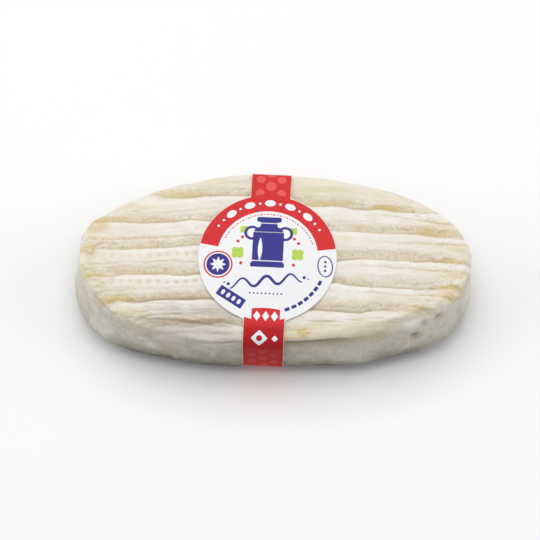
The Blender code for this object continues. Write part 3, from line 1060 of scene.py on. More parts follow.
# %% Painted shade at the foot
LOW_FROM = 1.8 * MM
LOW_FADE = 15.0 * MM
LOW_FADE_ENDS = 3.0 * MM
LOW_RAGGED = 1.2 * MM
LOW_POWER = 1.5
LOW_FULL, LOW_ENDS = 1.12, 0.25
LOW_FRONT = 252, 22
LOW_FRONT_SHADE = 0.18

# The low mask is painted shade: the side turns near black towards the foot, less so at the ends and
# more at the front left.
low_rise = eased((pz + LOW_RAGGED * cloud - LOW_FROM) / (LOW_FADE - LOW_FADE_ENDS * ends))
low = (1 - low_rise) ** LOW_POWER * (LOW_FULL - LOW_ENDS * ends)
low = np.minimum(low + LOW_FRONT_SHADE * near_turn(*LOW_FRONT) * (1 - low), 1)
print(f"the foot is dark on {(low > SEEN).mean():.0%} of the points")

# %% Stains and frost of the down
FELT_MEAN, FELT_FRONT = 0.4, 0.6
SMALL_STAIN, SMALL_STAIN_RANGE = 0.75, (0.05, 0.50)
STAIN_BLOTCH, STAIN_RANGE = 0.5, (0.25, 0.85)
SMALL_FROST, SMALL_FROST_RANGE = 0.6, (0.15, 0.60)
FROST_FOOT = 0.7
FROST_LUMPS, FROST_RANGE = 0.75, (-0.1, 1.1)
FROST_ENDS = 0.25

felted = grey * (FELT_MEAN + FELT_FRONT * downy_front)
stain_small = SMALL_STAIN * climb(felt, *SMALL_STAIN_RANGE) * felted
stain = climb(STAIN_BLOTCH * blotch - cloud, *STAIN_RANGE) * side_share
stain = np.maximum(stain, stain_small) * (1 - low)
frost_small = SMALL_FROST * climb(-felt, *SMALL_FROST_RANGE) * felted * (1 - FROST_FOOT * low)
frost = FROST_LUMPS * climb(lumps + cloud, *FROST_RANGE) + FROST_ENDS * ends
frost = np.maximum(frost * grey * (1 - low), frost_small)
print(f"frosted points: {(frost > SEEN).mean():.0%}, stained: {(stain > SEEN).mean():.0%}")

# %% [markdown]
# ## From a grid to a mesh
# A grid of points becomes a mesh when every four neighbours are joined to a face. Adding
# faces one by one in Python would be slow, so whole arrays go in with foreach_set. Rows
# that shrink to one point, at the tips, are welded, and faces are turned outward when the
# volume they enclose comes out negative, because exporters hide faces that look inward.

# %% Helpers for meshes
ML = 1e-6


def grid_mesh(name, grid, masks):
    """A smooth mesh of a grid whose columns close round, with each mask as an attribute.

    The face at row r and column c joins points (r, c), (r+1, c), (r+1, c+1) and (r, c+1).
    """
    index = np.arange(grid.shape[0] * grid.shape[1]).reshape(grid.shape[:2])
    here, there = index[:-1], index[1:]
    quads = np.stack([here, there, np.roll(there, -1, 1), np.roll(here, -1, 1)], -1).reshape(-1, 4)
    mesh = bpy.data.meshes.new(name)
    mesh.vertices.add(index.size)
    mesh.vertices.foreach_set("co", grid.reshape(-1).astype(np.float32))
    mesh.loops.add(quads.size)
    mesh.loops.foreach_set("vertex_index", quads.reshape(-1).astype(np.int32))
    mesh.polygons.add(len(quads))
    starts = np.arange(0, quads.size, quads.shape[1], dtype=np.int32)
    mesh.polygons.foreach_set("loop_start", starts)
    mesh.update(calc_edges=True)
    for mask, values in masks.items():
        layer = mesh.attributes.new(mask, "FLOAT", "POINT")
        layer.data.foreach_set("value", np.asarray(values, np.float32).reshape(-1))
    mesh.shade_smooth()
    thing = bpy.data.objects.new(name, mesh)
    bpy.context.scene.collection.objects.link(thing)
    return thing


def welded(thing, distance):
    """Joins points that lie nearer together than the distance, such as those of a tip."""
    weld = thing.modifiers.new("weld", "WELD")
    weld.merge_threshold = distance
    graph = bpy.context.evaluated_depsgraph_get()
    joined = bpy.data.meshes.new_from_object(thing.evaluated_get(graph))
    thing.modifiers.clear()
    joined.name = thing.name
    thing.data = joined
    return thing


def facing_out(thing):
    """Turns the faces round if the enclosed volume is negative.

    Six times the volume is the sum over triangles of corner a dotted with b crossed with c.
    """
    mesh = thing.data
    corners = np.empty(len(mesh.vertices) * 3, np.float32)
    mesh.vertices.foreach_get("co", corners)
    mesh.calc_loop_triangles()
    triangles = np.empty(len(mesh.loop_triangles) * 3, np.int32)
    mesh.loop_triangles.foreach_get("vertices", triangles)
    a, b, c = corners.reshape(-1, 3)[triangles.reshape(-1, 3)].transpose(1, 0, 2)
    volume = np.sum(a * np.cross(b, c)) / 6
    if volume < 0:
        mesh.flip_normals()
    print(f"{thing.name}: {len(mesh.loop_triangles)} triangles, {abs(volume) / ML:.1f} ml")
    return thing


# %% Mesh of the rind
RIND_WELD = 0.01 * MM

rind_masks = {
    "furrow": furrow,
    "tan": tan,
    "yellow": yellow,
    "mauve": mauve,
    "grey": grey,
    "stain": stain,
    "edge_highlight": edge_highlight,
    "low": low,
    "crease_brown_and_shade": crease_brown_and_shade,
    "frost": frost,
    "pit": pit,
    "warm": warm,
    "crest": rib_top * among_ribs * (1 - flank),
}
rind = facing_out(welded(grid_mesh("rind", surface, rind_masks), RIND_WELD))

# %% [markdown]
# ## The paper band
# The real band is one strip of paper with a round label in its middle, pulled tight and
# closed below. A cloth simulation could wrap it, but would change from run to run. A taut
# strip takes the shortest way round, which is the outline of the farthest points in every
# direction. So the path is worked out once, and the flat strip is laid along it: u runs
# across the strap and v along it, from the label's middle towards the back.

# %% Path of the taut strip
PAPER = 0.16 * MM
PAPER_GAP = 0.14 * MM
LOOP_STEPS = 2880
SECTION_STEPS = 41
STRAP_SQUEEZE_REACH = 14 * MM, 26 * MM
STRAP_SQUEEZE_HEIGHTS = 10 * MM, 16 * MM


def cheese_section():
    """Points of the cheese under the strap: distance forth from the label's middle, and height."""
    centre = np.array([LABEL_X, LABEL_Y])
    inset, height, _ = side_profile()
    turns = np.radians(np.arange(0, 360, 1.0))[:, None]
    plan = np.stack(outline(turns, inset, height), -1) - centre
    beneath = np.abs(plan @ across) < STRAP_WIDTH / 2
    shrink = climb(plan[..., 1], *STRAP_SQUEEZE_REACH) * climb(height, *STRAP_SQUEEZE_HEIGHTS)
    forth = plan @ along - SQUEEZE * shrink
    side = np.stack([forth, np.maximum(height, CHANNEL_DEPTH) + 0 * turns], -1)[beneath]
    run = np.linspace(-WIDTH / 2 + RIM_RADIUS, WIDTH / 2 - RIM_RADIUS, SECTION_STEPS)
    edges = STRAP_WIDTH * np.array([-0.5, 0, 0.5])[:, None, None] * across
    lines = centre + edges + run[:, None] * along
    tops = np.stack([run + 0 * lines[..., 0], top_height(lines[..., 0], lines[..., 1])], -1)
    return np.concatenate([side, tops.reshape(-1, 2)])


def band_path(gap):
    """Length along the taut strip, its points, and the length at which the label's middle lies.

    For every direction, clockwise from the front, the path's point is the section's
    farthest point that way plus the gap in that direction.
    """
    section = cheese_section()
    turns = np.linspace(math.pi, -math.pi, LOOP_STEPS + 1)
    directions = np.stack([np.cos(turns), np.sin(turns)], -1)
    loop = section[np.argmax(section @ directions.T, axis=0)] + gap * directions
    steps = np.linalg.norm(np.diff(loop, axis=0), axis=1)
    length = np.concatenate([[0], np.cumsum(steps)])
    on_top = (loop[:-1, 1] > HEIGHT / 2) & (loop[:-1, 0] <= 0) & (loop[1:, 0] > 0)
    over = np.flatnonzero(on_top)[0]
    start = length[over] - loop[over, 0] / (loop[over + 1, 0] - loop[over, 0]) * steps[over]
    return length, loop, start


print(f"the strip is {band_path(PAPER_GAP + PAPER)[0][-1] / MM:.0f} mm round")

# %% Flat strip with a round label
OUTER_CELLS = 216
INNER_CELLS = 30
LABEL_ROWS = 200
STRAP_ROWS = 150
BACK_RUN = 30 * MM
FRONT_RUN = 16 * MM
BACK_ROWS, UNDER_ROWS = 0.2, 0.55
FILLET = 2.4 * MM
LABEL_SPAN = math.radians(86)


def strip_rows(total):
    """v of each row: close together at the label's ends by a sine, then spread on the strap."""
    turns = np.linspace(-LABEL_SPAN, LABEL_SPAN, LABEL_ROWS + 1)
    label = LABEL_RADIUS * np.sin(turns) / math.sin(LABEL_SPAN)
    front = total - LABEL_RADIUS
    stops = LABEL_RADIUS, LABEL_RADIUS + BACK_RUN, front - FRONT_RUN, front
    shares = np.linspace(0, 1, STRAP_ROWS + 1)[1:-1]
    return np.concatenate([label, np.interp(shares, (0, BACK_ROWS, UNDER_ROWS, 1), stops)])


def half_width(v):
    """Half the strip's width: the wider of circle and strap, with a round inner corner.

    The corner adds a quarter of the fillet times the squared closeness of the two widths.
    """
    circle = np.sqrt(np.maximum(LABEL_RADIUS**2 - v**2, 0))
    near = np.maximum(FILLET - np.abs(circle - STRAP_WIDTH / 2), 0) / FILLET
    return np.maximum(circle, STRAP_WIDTH / 2) + FILLET * near**2 / 4


def band_layer(gap, cells):
    """Points of one face of the paper at a gap from the cheese, with their u and v.

    u is a share from -1 to 1 of the half width. The place on the path gives the distance
    forth and the height, and the label also follows the dome beside the path.
    """
    length, loop, start = band_path(gap)
    total = length[-1]
    v = strip_rows(total)
    u = half_width(v)[:, None] * np.linspace(-1, 1, cells + 1)
    place = (v + start) % total
    forth = np.interp(place, length, loop[:, 0])[:, None]
    middle = [LABEL_X + forth * along[0], LABEL_Y + forth * along[1]]
    x, y = middle[0] + u * across[0], middle[1] + u * across[1]
    sag = (top_height(x, y) - top_height(*middle)) * (np.abs(v) < LABEL_RADIUS)[:, None]
    height = np.interp(place, length, loop[:, 1])[:, None] + sag
    v = np.where(v > total / 2, v - total, v)[:, None] + 0 * u
    return np.stack([x, y, height], -1), u, v


outer, band_u, band_v = band_layer(PAPER_GAP + PAPER, OUTER_CELLS)
inner, _, _ = band_layer(PAPER_GAP, INNER_CELLS)
print(f"the label is {2 * band_u.max() / MM:.1f} mm wide on a strap of {STRAP_WIDTH / MM:.1f} mm")

# %% [markdown]
# ## Paper that is not quite flat
# Thin damp paper sinks a little into the furrows and waves between them, which the real
# label shows as soft bands of light. A bump map would give the light but not the edge.
# So each face of the paper is lowered a little by the ribs beneath it and by a slow noise.

# %% Dips and waves of the paper
DIP_DEPTH = 0.10 * MM
DIP_START = 0.3
WAVE_DEPTH = 0.06 * MM
WAVE_SIZES = 14, 11, 20
WAVE_SEED = 131
TOP_ONLY = 22 * MM, 24 * MM

for face in (outer, inner):
    dip = rib_drop(rib_count(face[..., 0], face[..., 1])) / RIB_DEPTH - DIP_START
    wave = WAVE_DEPTH * np.abs(noise(stretched(face, *WAVE_SIZES), WAVE_SEED))
    face[..., 2] -= (np.maximum(DIP_DEPTH * dip, 0) + wave) * climb(face[..., 2], *TOP_ONLY)
band_grid = np.concatenate([outer, inner[:, ::-1]], 1)
band_grid = np.concatenate([band_grid, band_grid[:1]])
print("the band's grid is", band_grid.shape[0], "rows of", band_grid.shape[1], "points")

# %% [markdown]
# ## Shapes of the print
# The band is printed in flat red, blue and green on white. A picture could be wrapped on,
# but would blur close up. Here every ink is a signed distance: at each point of the paper,
# how many millimetres it lies from the edge of the ink, negative inside. The larger of two
# distances is their overlap, the smaller their union, and a distance turned to its
# negative cuts a hole. The material prints where the distance is below zero.

# %% Distances to simple shapes
U = band_u / MM
V = band_v / MM
R = LABEL_RADIUS / MM


def polar(radius, degrees):
    """u and v of a place by its distance and angle from the label's middle."""
    return radius * math.cos(math.radians(degrees)), radius * math.sin(math.radians(degrees))


def local(u, v, turned):
    """Steps from (u, v) to each point, along axes that are turned by some degrees."""
    c, s = polar(1, turned)
    return (U - u) * c + (V - v) * s, (V - v) * c - (U - u) * s


def disc(u, v, radius):
    """Distance from the middle less the radius."""
    return np.hypot(U - u, V - v) - radius


def ring(u, v, radius, thick):
    """Distance from the circle, less half the thickness."""
    return np.abs(disc(u, v, radius)) - thick / 2


def oval(u, v, half_u, half_v, turned=0.0):
    """The oval's own sum less 1, over its slope, which is nearly the distance in mm."""
    du, dv = local(u, v, turned)
    scaled = np.hypot(du / half_u, dv / half_v)
    slope = np.hypot(du / half_u**2, dv / half_v**2) / np.maximum(scaled, TINY)
    return (scaled - 1) / np.maximum(slope, TINY)


def block(u, v, half_u, half_v, corner, turned=0.0):
    """Distance from a smaller block, less the corner's radius, which rounds the corners."""
    du, dv = np.abs(local(u, v, turned))
    du, dv = du - half_u + corner, dv - half_v + corner
    outside = np.hypot(np.maximum(du, 0), np.maximum(dv, 0))
    return outside + np.minimum(np.maximum(du, dv), 0) - corner


def diamond(u, v, half, corner):
    """A square block that stands on its corner."""
    return block(u, v, half, half, corner, 45)


def leaf(u, v, half_long, half_wide, turned):
    """Two arcs that meet in points: the distance from a far centre, less its radius."""
    du, dv = local(u, v, turned)
    radius = (half_long**2 + half_wide**2) / (2 * half_wide)
    return np.hypot(du, np.abs(dv) + radius - half_wide) - radius


def both(*shapes):
    """Where all shapes overlap: the largest of the distances."""
    return np.maximum.reduce(shapes)


def either(*shapes):
    """Where any of the shapes is: the smallest of the distances."""
    return np.minimum.reduce(shapes)


def without(shape, *cuts):
    """The shape with the others cut away: its overlap with their negatives."""
    return both(shape, *[-cut for cut in cuts])


print(f"the label covers {(disc(0, 0, R) < 0).mean():.0%} of the points of the outer face")

# %% [markdown]
# ## Design of the label
# The band is red above and along the strap and white below, with small motifs in blue and
# green. They could be drawn as curves in a drawing program and brought in. Written from
# the shapes above, in mm from the label's middle and degrees round it, any of them can be
# moved or left out by one line. The design is a plain one of its own: a red crescent with
# white ovals and dots, a blue milk churn between green clovers, a wavy flourish, a badge
# with a rosette, a pennant, a few dashes, dots and diamonds, and paler discs on the strap.

# %% Red crescent and strap
MARGIN = 0.10
STRAP_HALF = STRAP_WIDTH / MM / 2 - MARGIN
STRAP_LONG = 400
STRAP_TUCK = 0.5
STRAP_START = 1.6
CRESCENT_INSIDE = 16.1
CRESCENT_SLOPE = 0.17
NECK_HALF = 3.0

strap_red = without(block(0, 0, STRAP_HALF, STRAP_LONG, 0), disc(0, 0, R - STRAP_TUCK))
strap_red = both(strap_red, R - STRAP_START - np.abs(V))
crescent = without(disc(0, 0, R - MARGIN), disc(0, 0, CRESCENT_INSIDE))
crescent = both(crescent, CRESCENT_SLOPE * np.abs(U) - V)
neck = both(block(0, R, STRAP_HALF, NECK_HALF, 0), CRESCENT_INSIDE - V)
print(f"the crescent is {R - MARGIN - CRESCENT_INSIDE:.1f} mm wide")

# %% Red tab at the front
# u, v, half width, half height and corner of its block, which an arch cuts off above. A
# foot below joins it to the strap.
TAB = 0.4, 1.9 - R, 4.5, 2.9, 0.1
TAB_ARCH = 0.02
TAB_TOP = 4.7
FOOT_HALF = 1.8
FOOT_TOP = 0.9

tab = both(block(*TAB), V + TAB_ARCH * U**2 + R - TAB_TOP)
tab = either(tab, both(block(0, -R, STRAP_HALF, FOOT_HALF, 0), V + R - FOOT_TOP))
print("the tab is", 2 * TAB[2], "mm wide")

# %% Small red marks
DASH_RADIUS = 15.0
DASH_TURNS = range(20, 164, 8)
BEAD_TURNS = range(24, 160, 8)
# Half width, half height and corner of a dash, and half width and corner of a diamond
DASH = 0.42, 0.2, 0.2
DIAMOND = 0.48, 0.05
BEAD = 0.24
# u and v of the diamonds on one side and of the badge, and its ring's radius and thickness
DIAMOND_PLACES = ((8.3, 6.4), (9.7, 4.9), (8.4, -2.7))
BADGE = -15.6, -3.4
BADGE_RING = 4.4, 0.5
SIDES = -1, 1

dashes = [block(*polar(DASH_RADIUS, a), *DASH, a + 90) for a in DASH_TURNS]
beads = [disc(*polar(DASH_RADIUS, a), BEAD) for a in BEAD_TURNS]
diamonds = [diamond(side * u, v, *DIAMOND) for side in SIDES for u, v in DIAMOND_PLACES]
red = either(strap_red, crescent, neck, tab, *dashes, *beads, *diamonds, ring(*BADGE, *BADGE_RING))
print(f"red covers {(red < 0).mean():.0%} of the outer face")

# %% White cut out of the red
OVAL_RADIUS = 19.1
OVAL_TURNS = (50, 70, 90, 110, 130)
OVAL_HALF = 1.75, 1.15
DOT_TURNS = (32, 40, 60, 80, 100, 120, 140, 148)
DOT = 0.42
# A lozenge is a share of the way across plus a share of the way along, less its size
LOZENGE_PLACES = (-2.4, 0.4, 3.2)
LOZENGE_UP = 2.0
LOZENGE_ACROSS, LOZENGE_ALONG, LOZENGE_SIZE = 0.82, 0.57, 0.95
MARK_V = -27.4
# u, half width and corner of both marks, and the radius of the hole in the big one
BIG_U, BIG_MARK, BIG_HOLE = -1.3, (1.9, 0.4), 0.95
SMALL_U, SMALL_MARK = 3.6, (0.75, 0.2)

petals = [oval(*polar(OVAL_RADIUS, a), *OVAL_HALF, a + 90) for a in OVAL_TURNS]
dots = [disc(*polar(OVAL_RADIUS, a), DOT) for a in DOT_TURNS]
rise = LOZENGE_ALONG * np.abs(V + R - LOZENGE_UP)
lozenges = [LOZENGE_ACROSS * np.abs(U - u) + rise - LOZENGE_SIZE for u in LOZENGE_PLACES]
big_mark = without(diamond(BIG_U, MARK_V, *BIG_MARK), disc(BIG_U, MARK_V, BIG_HOLE))
small_mark = diamond(SMALL_U, MARK_V, *SMALL_MARK)
white = either(*petals, *dots, *lozenges, big_mark, small_mark)
print("white ovals and dots on the crescent:", len(petals) + len(dots))

# %% Blue churn
CHURN = 1.13
CHURN_V = 2.2
# v, half width, half height and corner of each block, and of each line left white
CHURN_BLOCKS = (
    (0.4, 4.4, 4.9, 1.4),
    (7.4, 2.4, 2.4, 0.3),
    (9.6, 3.5, 0.8, 0.6),
    (-4.6, 4.8, 0.7, 0.4),
)
CHURN_LINES = (
    (8.45, 3.6, 0.14, 0.1),
    (-3.4, 5.0, 0.14, 0.1),
    (5.6, 4.6, 0.12, 0.1),
)
SHOULDER_V, SHOULDER_HALF_U, SHOULDER_HALF_V = 4.9, 4.4, 2.9
HANDLE_U, HANDLE_V = 4.7, 5.2
HANDLE_RING = 2.1, 0.9
# u, v, half length, half width and turn of the shine on its side
SHINE = -2.5, 2.4, 4.2, 0.7, 90


def churn_block(v, half_u, half_v, corner):
    """A block on the churn's axis, with its place and sizes scaled like the whole churn."""
    return block(0, v * CHURN + CHURN_V, half_u * CHURN, half_v * CHURN, corner)


shoulder = oval(0, SHOULDER_V * CHURN + CHURN_V, SHOULDER_HALF_U * CHURN, SHOULDER_HALF_V * CHURN)
handle_v = HANDLE_V * CHURN + CHURN_V
handles = [ring(side * HANDLE_U * CHURN, handle_v, *HANDLE_RING) for side in SIDES]
churn = either(shoulder, *handles, *[churn_block(*part) for part in CHURN_BLOCKS])
churn = without(churn, leaf(*SHINE), *[churn_block(*part) for part in CHURN_LINES])
edges = [v + side * half for v, _, half, _ in CHURN_BLOCKS for side in SIDES]
print(f"the churn is {CHURN * np.ptp(edges):.0f} mm tall")

# %% Blue badge and flourish
BADGE_DISC = 3.7
ROSETTE = 2.7, 0.62
ROSETTE_TURNS = (0, 45, 90, 135)
WAVE_STEP = 7.6
WAVE_HEIGHT = 1.5
WAVE_RISE = 0.14
WAVE_U, WAVE_V = 1.9, -8.3
WAVE_HALF = 11.4
LINE_THIN, LINE_SWELL, SWELL_REACH = 0.20, 0.30, 8
# u, v and radius of the dots at the ends of the flourish
CURLS = ((-12.0, -9.9, 0.55), (12.0, -6.7, 0.55), (-13.3, -9.4, 0.3), (13.3, -7.2, 0.3))

badge = without(disc(*BADGE, BADGE_DISC), *[leaf(*BADGE, *ROSETTE, a) for a in ROSETTE_TURNS])
phase = 2 * math.pi * (U + WAVE_U) / WAVE_STEP
wave_v = WAVE_V + WAVE_RISE * U + WAVE_HEIGHT * np.sin(phase)
wave_slope = WAVE_RISE + WAVE_HEIGHT * 2 * math.pi / WAVE_STEP * np.cos(phase)
thick = LINE_THIN + LINE_SWELL * bump(U, 0, SWELL_REACH)
flourish = both(np.abs(V - wave_v) / np.hypot(1, wave_slope) - thick, np.abs(U) - WAVE_HALF)
curls = [disc(*curl) for curl in CURLS]
print(f"the flourish has {2 * WAVE_HALF / WAVE_STEP:.0f} waves")

# %% Blue pennant, foot marks and oval ring
PENNANT_TURN = -31
PENNANT_U, PENNANT_V = -10.9, -14.2
# Half width, half height and corner of each kind of block
PENNANT = 4.7, 1.75, 0.2
SLOT = 0.55, 0.85, 0.5
FOOT_MARK = 0.85, 0.55, 0.2
SLOT_STEPS = (-3.0, -1.0, 1.0, 3.0)
FOOT_RADIUS = 18.9
FOOT_TURNS = range(292, 338, 7)
# How many foot dots, half the length of their row, its v and their radius
FOOT_DOTS, FOOT_ROW_HALF, FOOT_ROW_V, FOOT_DOT = 9, 5.0, -12.6, 0.3
# u, v, both half sizes and turn
OVAL_RING = 18.5, -2.6, 2.3, 3.5, 8
OVAL_LINE_HALF = 0.2
OVAL_DOTS_V = (-4.1, -2.6, -1.1)

slots = []
for step in SLOT_STEPS:
    du, dv = polar(step, PENNANT_TURN)
    slots.append(block(PENNANT_U + du, PENNANT_V + dv, *SLOT, PENNANT_TURN))
pennant = without(block(PENNANT_U, PENNANT_V, *PENNANT, PENNANT_TURN), *slots)
foot_places = np.linspace(-FOOT_ROW_HALF, FOOT_ROW_HALF, FOOT_DOTS)
foot_dots = [disc(u, FOOT_ROW_V, FOOT_DOT) for u in foot_places]
foot_marks = [block(*polar(FOOT_RADIUS, a), *FOOT_MARK, a + 90) for a in FOOT_TURNS]
oval_ring = np.abs(oval(*OVAL_RING)) - OVAL_LINE_HALF
oval_dots = [disc(OVAL_RING[0], v, DOT) for v in OVAL_DOTS_V]
small_blue = either(*curls, *foot_dots, *foot_marks, oval_ring, *oval_dots)
blue = either(churn, badge, flourish, pennant, small_blue)
print(f"blue covers {(blue < 0).mean():.0%} of the outer face")

# %% Green clovers
# u, v and radius of a lobe for the clovers of one side
CLOVERS = ((9.6, 0.9, 1.05), (7.9, 9.2, 0.70))
LOBE_STEP = 0.8
CORNERS = ((-1, -1), (1, -1), (1, 1), (-1, 1))

lobes = []
for u, v, radius in CLOVERS:
    for side in SIDES:
        for du, dv in CORNERS:
            step = LOBE_STEP * radius
            lobes.append(disc(side * u + du * step, v + dv * step, radius))
green = either(*lobes)
print("lobes of the clovers:", len(lobes))

# %% Paler discs on the strap
DISC_STEP = 5.4
DISC_START = 1.6
SIDE_DISC_U, SIDE_DISC = 3.4, 1.5
MIDDLE_DISC = 1.7
PLAIN_V, PLAIN_HALF = 26.4, 5.6
DISC_TO_LABEL = 0.3

row = (V + DISC_START) % DISC_STEP - DISC_STEP / 2
middle_row = (V + DISC_START + DISC_STEP / 2) % DISC_STEP - DISC_STEP / 2
side_discs = np.hypot(np.abs(U) - SIDE_DISC_U, row) - SIDE_DISC
tone = either(side_discs, np.hypot(U, middle_row) - MIDDLE_DISC)
tone = both(tone, PLAIN_HALF - np.abs(V + PLAIN_V), -disc(0, 0, R + DISC_TO_LABEL))
print(f"discs every {DISC_STEP} mm along the strap, but none around the marks")

# %% Mesh of the paper
PAPER_WELD = 0.001 * MM
UNPRINTED = 5.0
# Where the painted shade on the strap's red starts and is full, then where it is gone and
# still full, all in mm from the label's middle towards the front
RED_SHADE_IN = R - 0.5, R + 3.0
RED_SHADE_OUT = R + 36.0, R + 12.0


def whole_band(outside, inside):
    """A mask for the whole band: its outer face, one value inside, and the first row again."""
    faces = np.concatenate([outside, np.full(inner.shape[:2], inside)], 1)
    return np.concatenate([faces, faces[:1]])


inks = {"red": red, "white": white, "blue": blue, "green": green, "tone": tone}
band_masks = {"ink_" + ink: whole_band(shape, UNPRINTED) for ink, shape in inks.items()}
band_masks["printed"] = whole_band(np.ones_like(U), 0.0)
# The fold mask is painted shade on the strap where it turns down over the front rim.
band_masks["fold"] = whole_band(climb(-V, *RED_SHADE_IN) * climb(-V, *RED_SHADE_OUT), 0.0)
paper = facing_out(welded(grid_mesh("paper", band_grid, band_masks), PAPER_WELD))

# %% [markdown]
# ## Nodes with short names
# A material is a tree of nodes. It can be wired by hand in the editor, or by a script that
# writes three lines for each node. Both soon become hard to follow, so a small class gives
# each kind of node that is needed one short method, which returns its output. A colour is
# then read as one list of layers from the bottom up.

# %% Colours
# The largest value of a colour, and the numbers of the usual curve, which starts straight
BYTE = 255
LINE_END = 0.04045
LINE_SLOPE = 12.92
CURVE_SHIFT = 0.055
CURVE_POWER = 2.4


def srgb(red, green, blue):
    """Linear colour from values of 0 to 255, by the usual curve with a power of 2.4."""
    linear = []
    for value in (red, green, blue):
        value = value / BYTE
        curved = ((value + CURVE_SHIFT) / (1 + CURVE_SHIFT)) ** CURVE_POWER
        linear.append(value / LINE_SLOPE if value < LINE_END else curved)
    return (*linear, 1.0)


print("a red ink in linear light:", [round(value, 2) for value in srgb(200, 60, 60)])

# %% Nodes
# The Mix node has sockets for each kind of value, and these are the ones for colours
MIX_UNDER, MIX_OVER, MIX_RESULT = 6, 7, 2


class Nodes:
    """Short ways to add nodes to one material; each returns the socket with the result."""

    def __init__(self, name):
        """A new material with the standard shader."""
        self.material = bpy.data.materials.new(name)
        self.material.use_nodes = True
        self.tree = self.material.node_tree
        self.shader = self.tree.nodes["Principled BSDF"]

    def put(self, value, socket):
        """Links a value that comes from a node, and writes one that is plain."""
        if isinstance(value, bpy.types.NodeSocket):
            self.tree.links.new(value, socket)
        else:
            socket.default_value = value

    def surface(self, **values):
        """Sets the shader's sockets; an underscore in a name stands for a space."""
        for name, value in values.items():
            self.put(value, self.shader.inputs[name.replace("_", " ")])

    def mask(self, name):
        """A mask of the mesh."""
        node = self.tree.nodes.new("ShaderNodeAttribute")
        node.attribute_name = name
        return node.outputs["Fac"]

    def grain(self, scale, detail=3.0, roughness=0.6, stretch=(1, 1, 1)):
        """Noise in the object's own coordinates; a stretch below 1 makes it longer that way."""
        source = self.tree.nodes.new("ShaderNodeTexCoord")
        mapping = self.tree.nodes.new("ShaderNodeMapping")
        mapping.inputs["Scale"].default_value = stretch
        self.put(source.outputs["Object"], mapping.inputs["Vector"])
        node = self.tree.nodes.new("ShaderNodeTexNoise")
        node.inputs["Scale"].default_value = scale
        node.inputs["Detail"].default_value = detail
        node.inputs["Roughness"].default_value = roughness
        self.put(mapping.outputs["Vector"], node.inputs["Vector"])
        return node.outputs["Fac"]

    def spread(self, value, low, high, to_low=0.0, to_high=1.0):
        """Maps low to high onto to_low to to_high, and holds the ends."""
        node = self.tree.nodes.new("ShaderNodeMapRange")
        numbers = {"From Min": low, "From Max": high, "To Min": to_low, "To Max": to_high}
        for name, number in numbers.items():
            node.inputs[name].default_value = number
        self.put(value, node.inputs["Value"])
        return node.outputs["Result"]

    def product(self, a, b):
        """a times b, kept from 0 to 1."""
        node = self.tree.nodes.new("ShaderNodeMath")
        node.operation = "MULTIPLY"
        node.use_clamp = True
        self.put(a, node.inputs[0])
        self.put(b, node.inputs[1])
        return node.outputs[0]

    def speckled(self, name, grain, low, high, to_low=0.0, to_high=1.0):
        """A mask times a grain that is spread."""
        return self.product(self.mask(name), self.spread(grain, low, high, to_low, to_high))

    def mix(self, amount, under, over):
        """The colour under where the amount is 0, the one over where it is 1."""
        node = self.tree.nodes.new("ShaderNodeMix")
        node.data_type = "RGBA"
        self.put(amount, node.inputs["Factor"])
        self.put(under, node.inputs[MIX_UNDER])
        self.put(over, node.inputs[MIX_OVER])
        return node.outputs[MIX_RESULT]

    def bump(self, height, distance, strength, normal=None):
        """A normal that is tilted by a height, on top of another normal if one is given."""
        node = self.tree.nodes.new("ShaderNodeBump")
        node.inputs["Distance"].default_value = distance
        node.inputs["Strength"].default_value = strength
        self.put(height, node.inputs["Height"])
        if normal:
            self.put(normal, node.inputs["Normal"])
        return node.outputs["Normal"]


print("short names:", ", ".join(name for name in vars(Nodes) if name[0] != "_"))

# %% [markdown]
# ## The bloomy rind
# White mould over curd is matt and lets a little light in, which softens its shadows. The
# grains of colour are of several sizes: broad warm clouds, mottles, flecks and fuzz. The
# layers below are mixed in the order in which they lie on the real rind, each where its
# mask is, and most of them broken up by a grain, since no mould covers evenly. Some layers
# are painted light: a highlight on each rib's back edge, and shade in the furrows, the
# creases and towards the foot.

# %% Colours of the rind
CREAM = srgb(241, 238, 230)
CREAM_WARM = srgb(236, 228, 211)
# Painted highlight on the ribs' back edges
EDGE_HIGHLIGHT = srgb(247, 245, 241)
TAN = srgb(227, 215, 192)
SPECK = srgb(205, 186, 152)
FURROW_TAN_AND_SHADE = srgb(188, 169, 134)
YELLOW = srgb(211, 191, 129)
MAUVE = srgb(166, 153, 144)
WARM = srgb(230, 219, 192)
GREY = srgb(207, 202, 184)
# Painted shade at the foot, near black
PAINTED_FOOT_SHADE = srgb(50, 48, 41)
DUSK = srgb(154, 146, 124)
FROST = srgb(228, 225, 216)
STAIN = srgb(192, 184, 158)
# Brown of the creases, also used as painted shade
CREASE_BROWN_AND_SHADE = srgb(156, 142, 108)

n = Nodes("rind")
# Scales are in noises per metre
broad = n.grain(scale=95, roughness=0.55)
mottle = n.grain(scale=330, stretch=(0.5, 1, 1))
fleck = n.grain(scale=1500, detail=2.0)
velvet = n.grain(scale=3200, detail=2.0)
fuzz = n.grain(scale=900, detail=4.0, roughness=0.7)
streak = n.grain(scale=1100, detail=2.0, stretch=(0.22, 1, 1))
print("nodes for the six grains:", len(n.tree.nodes))

# %% Layers of the rind
CREAM_RANGE = 0.38, 0.68
MOTTLE_RANGE = 0.52, 0.72, 0.0, 0.5
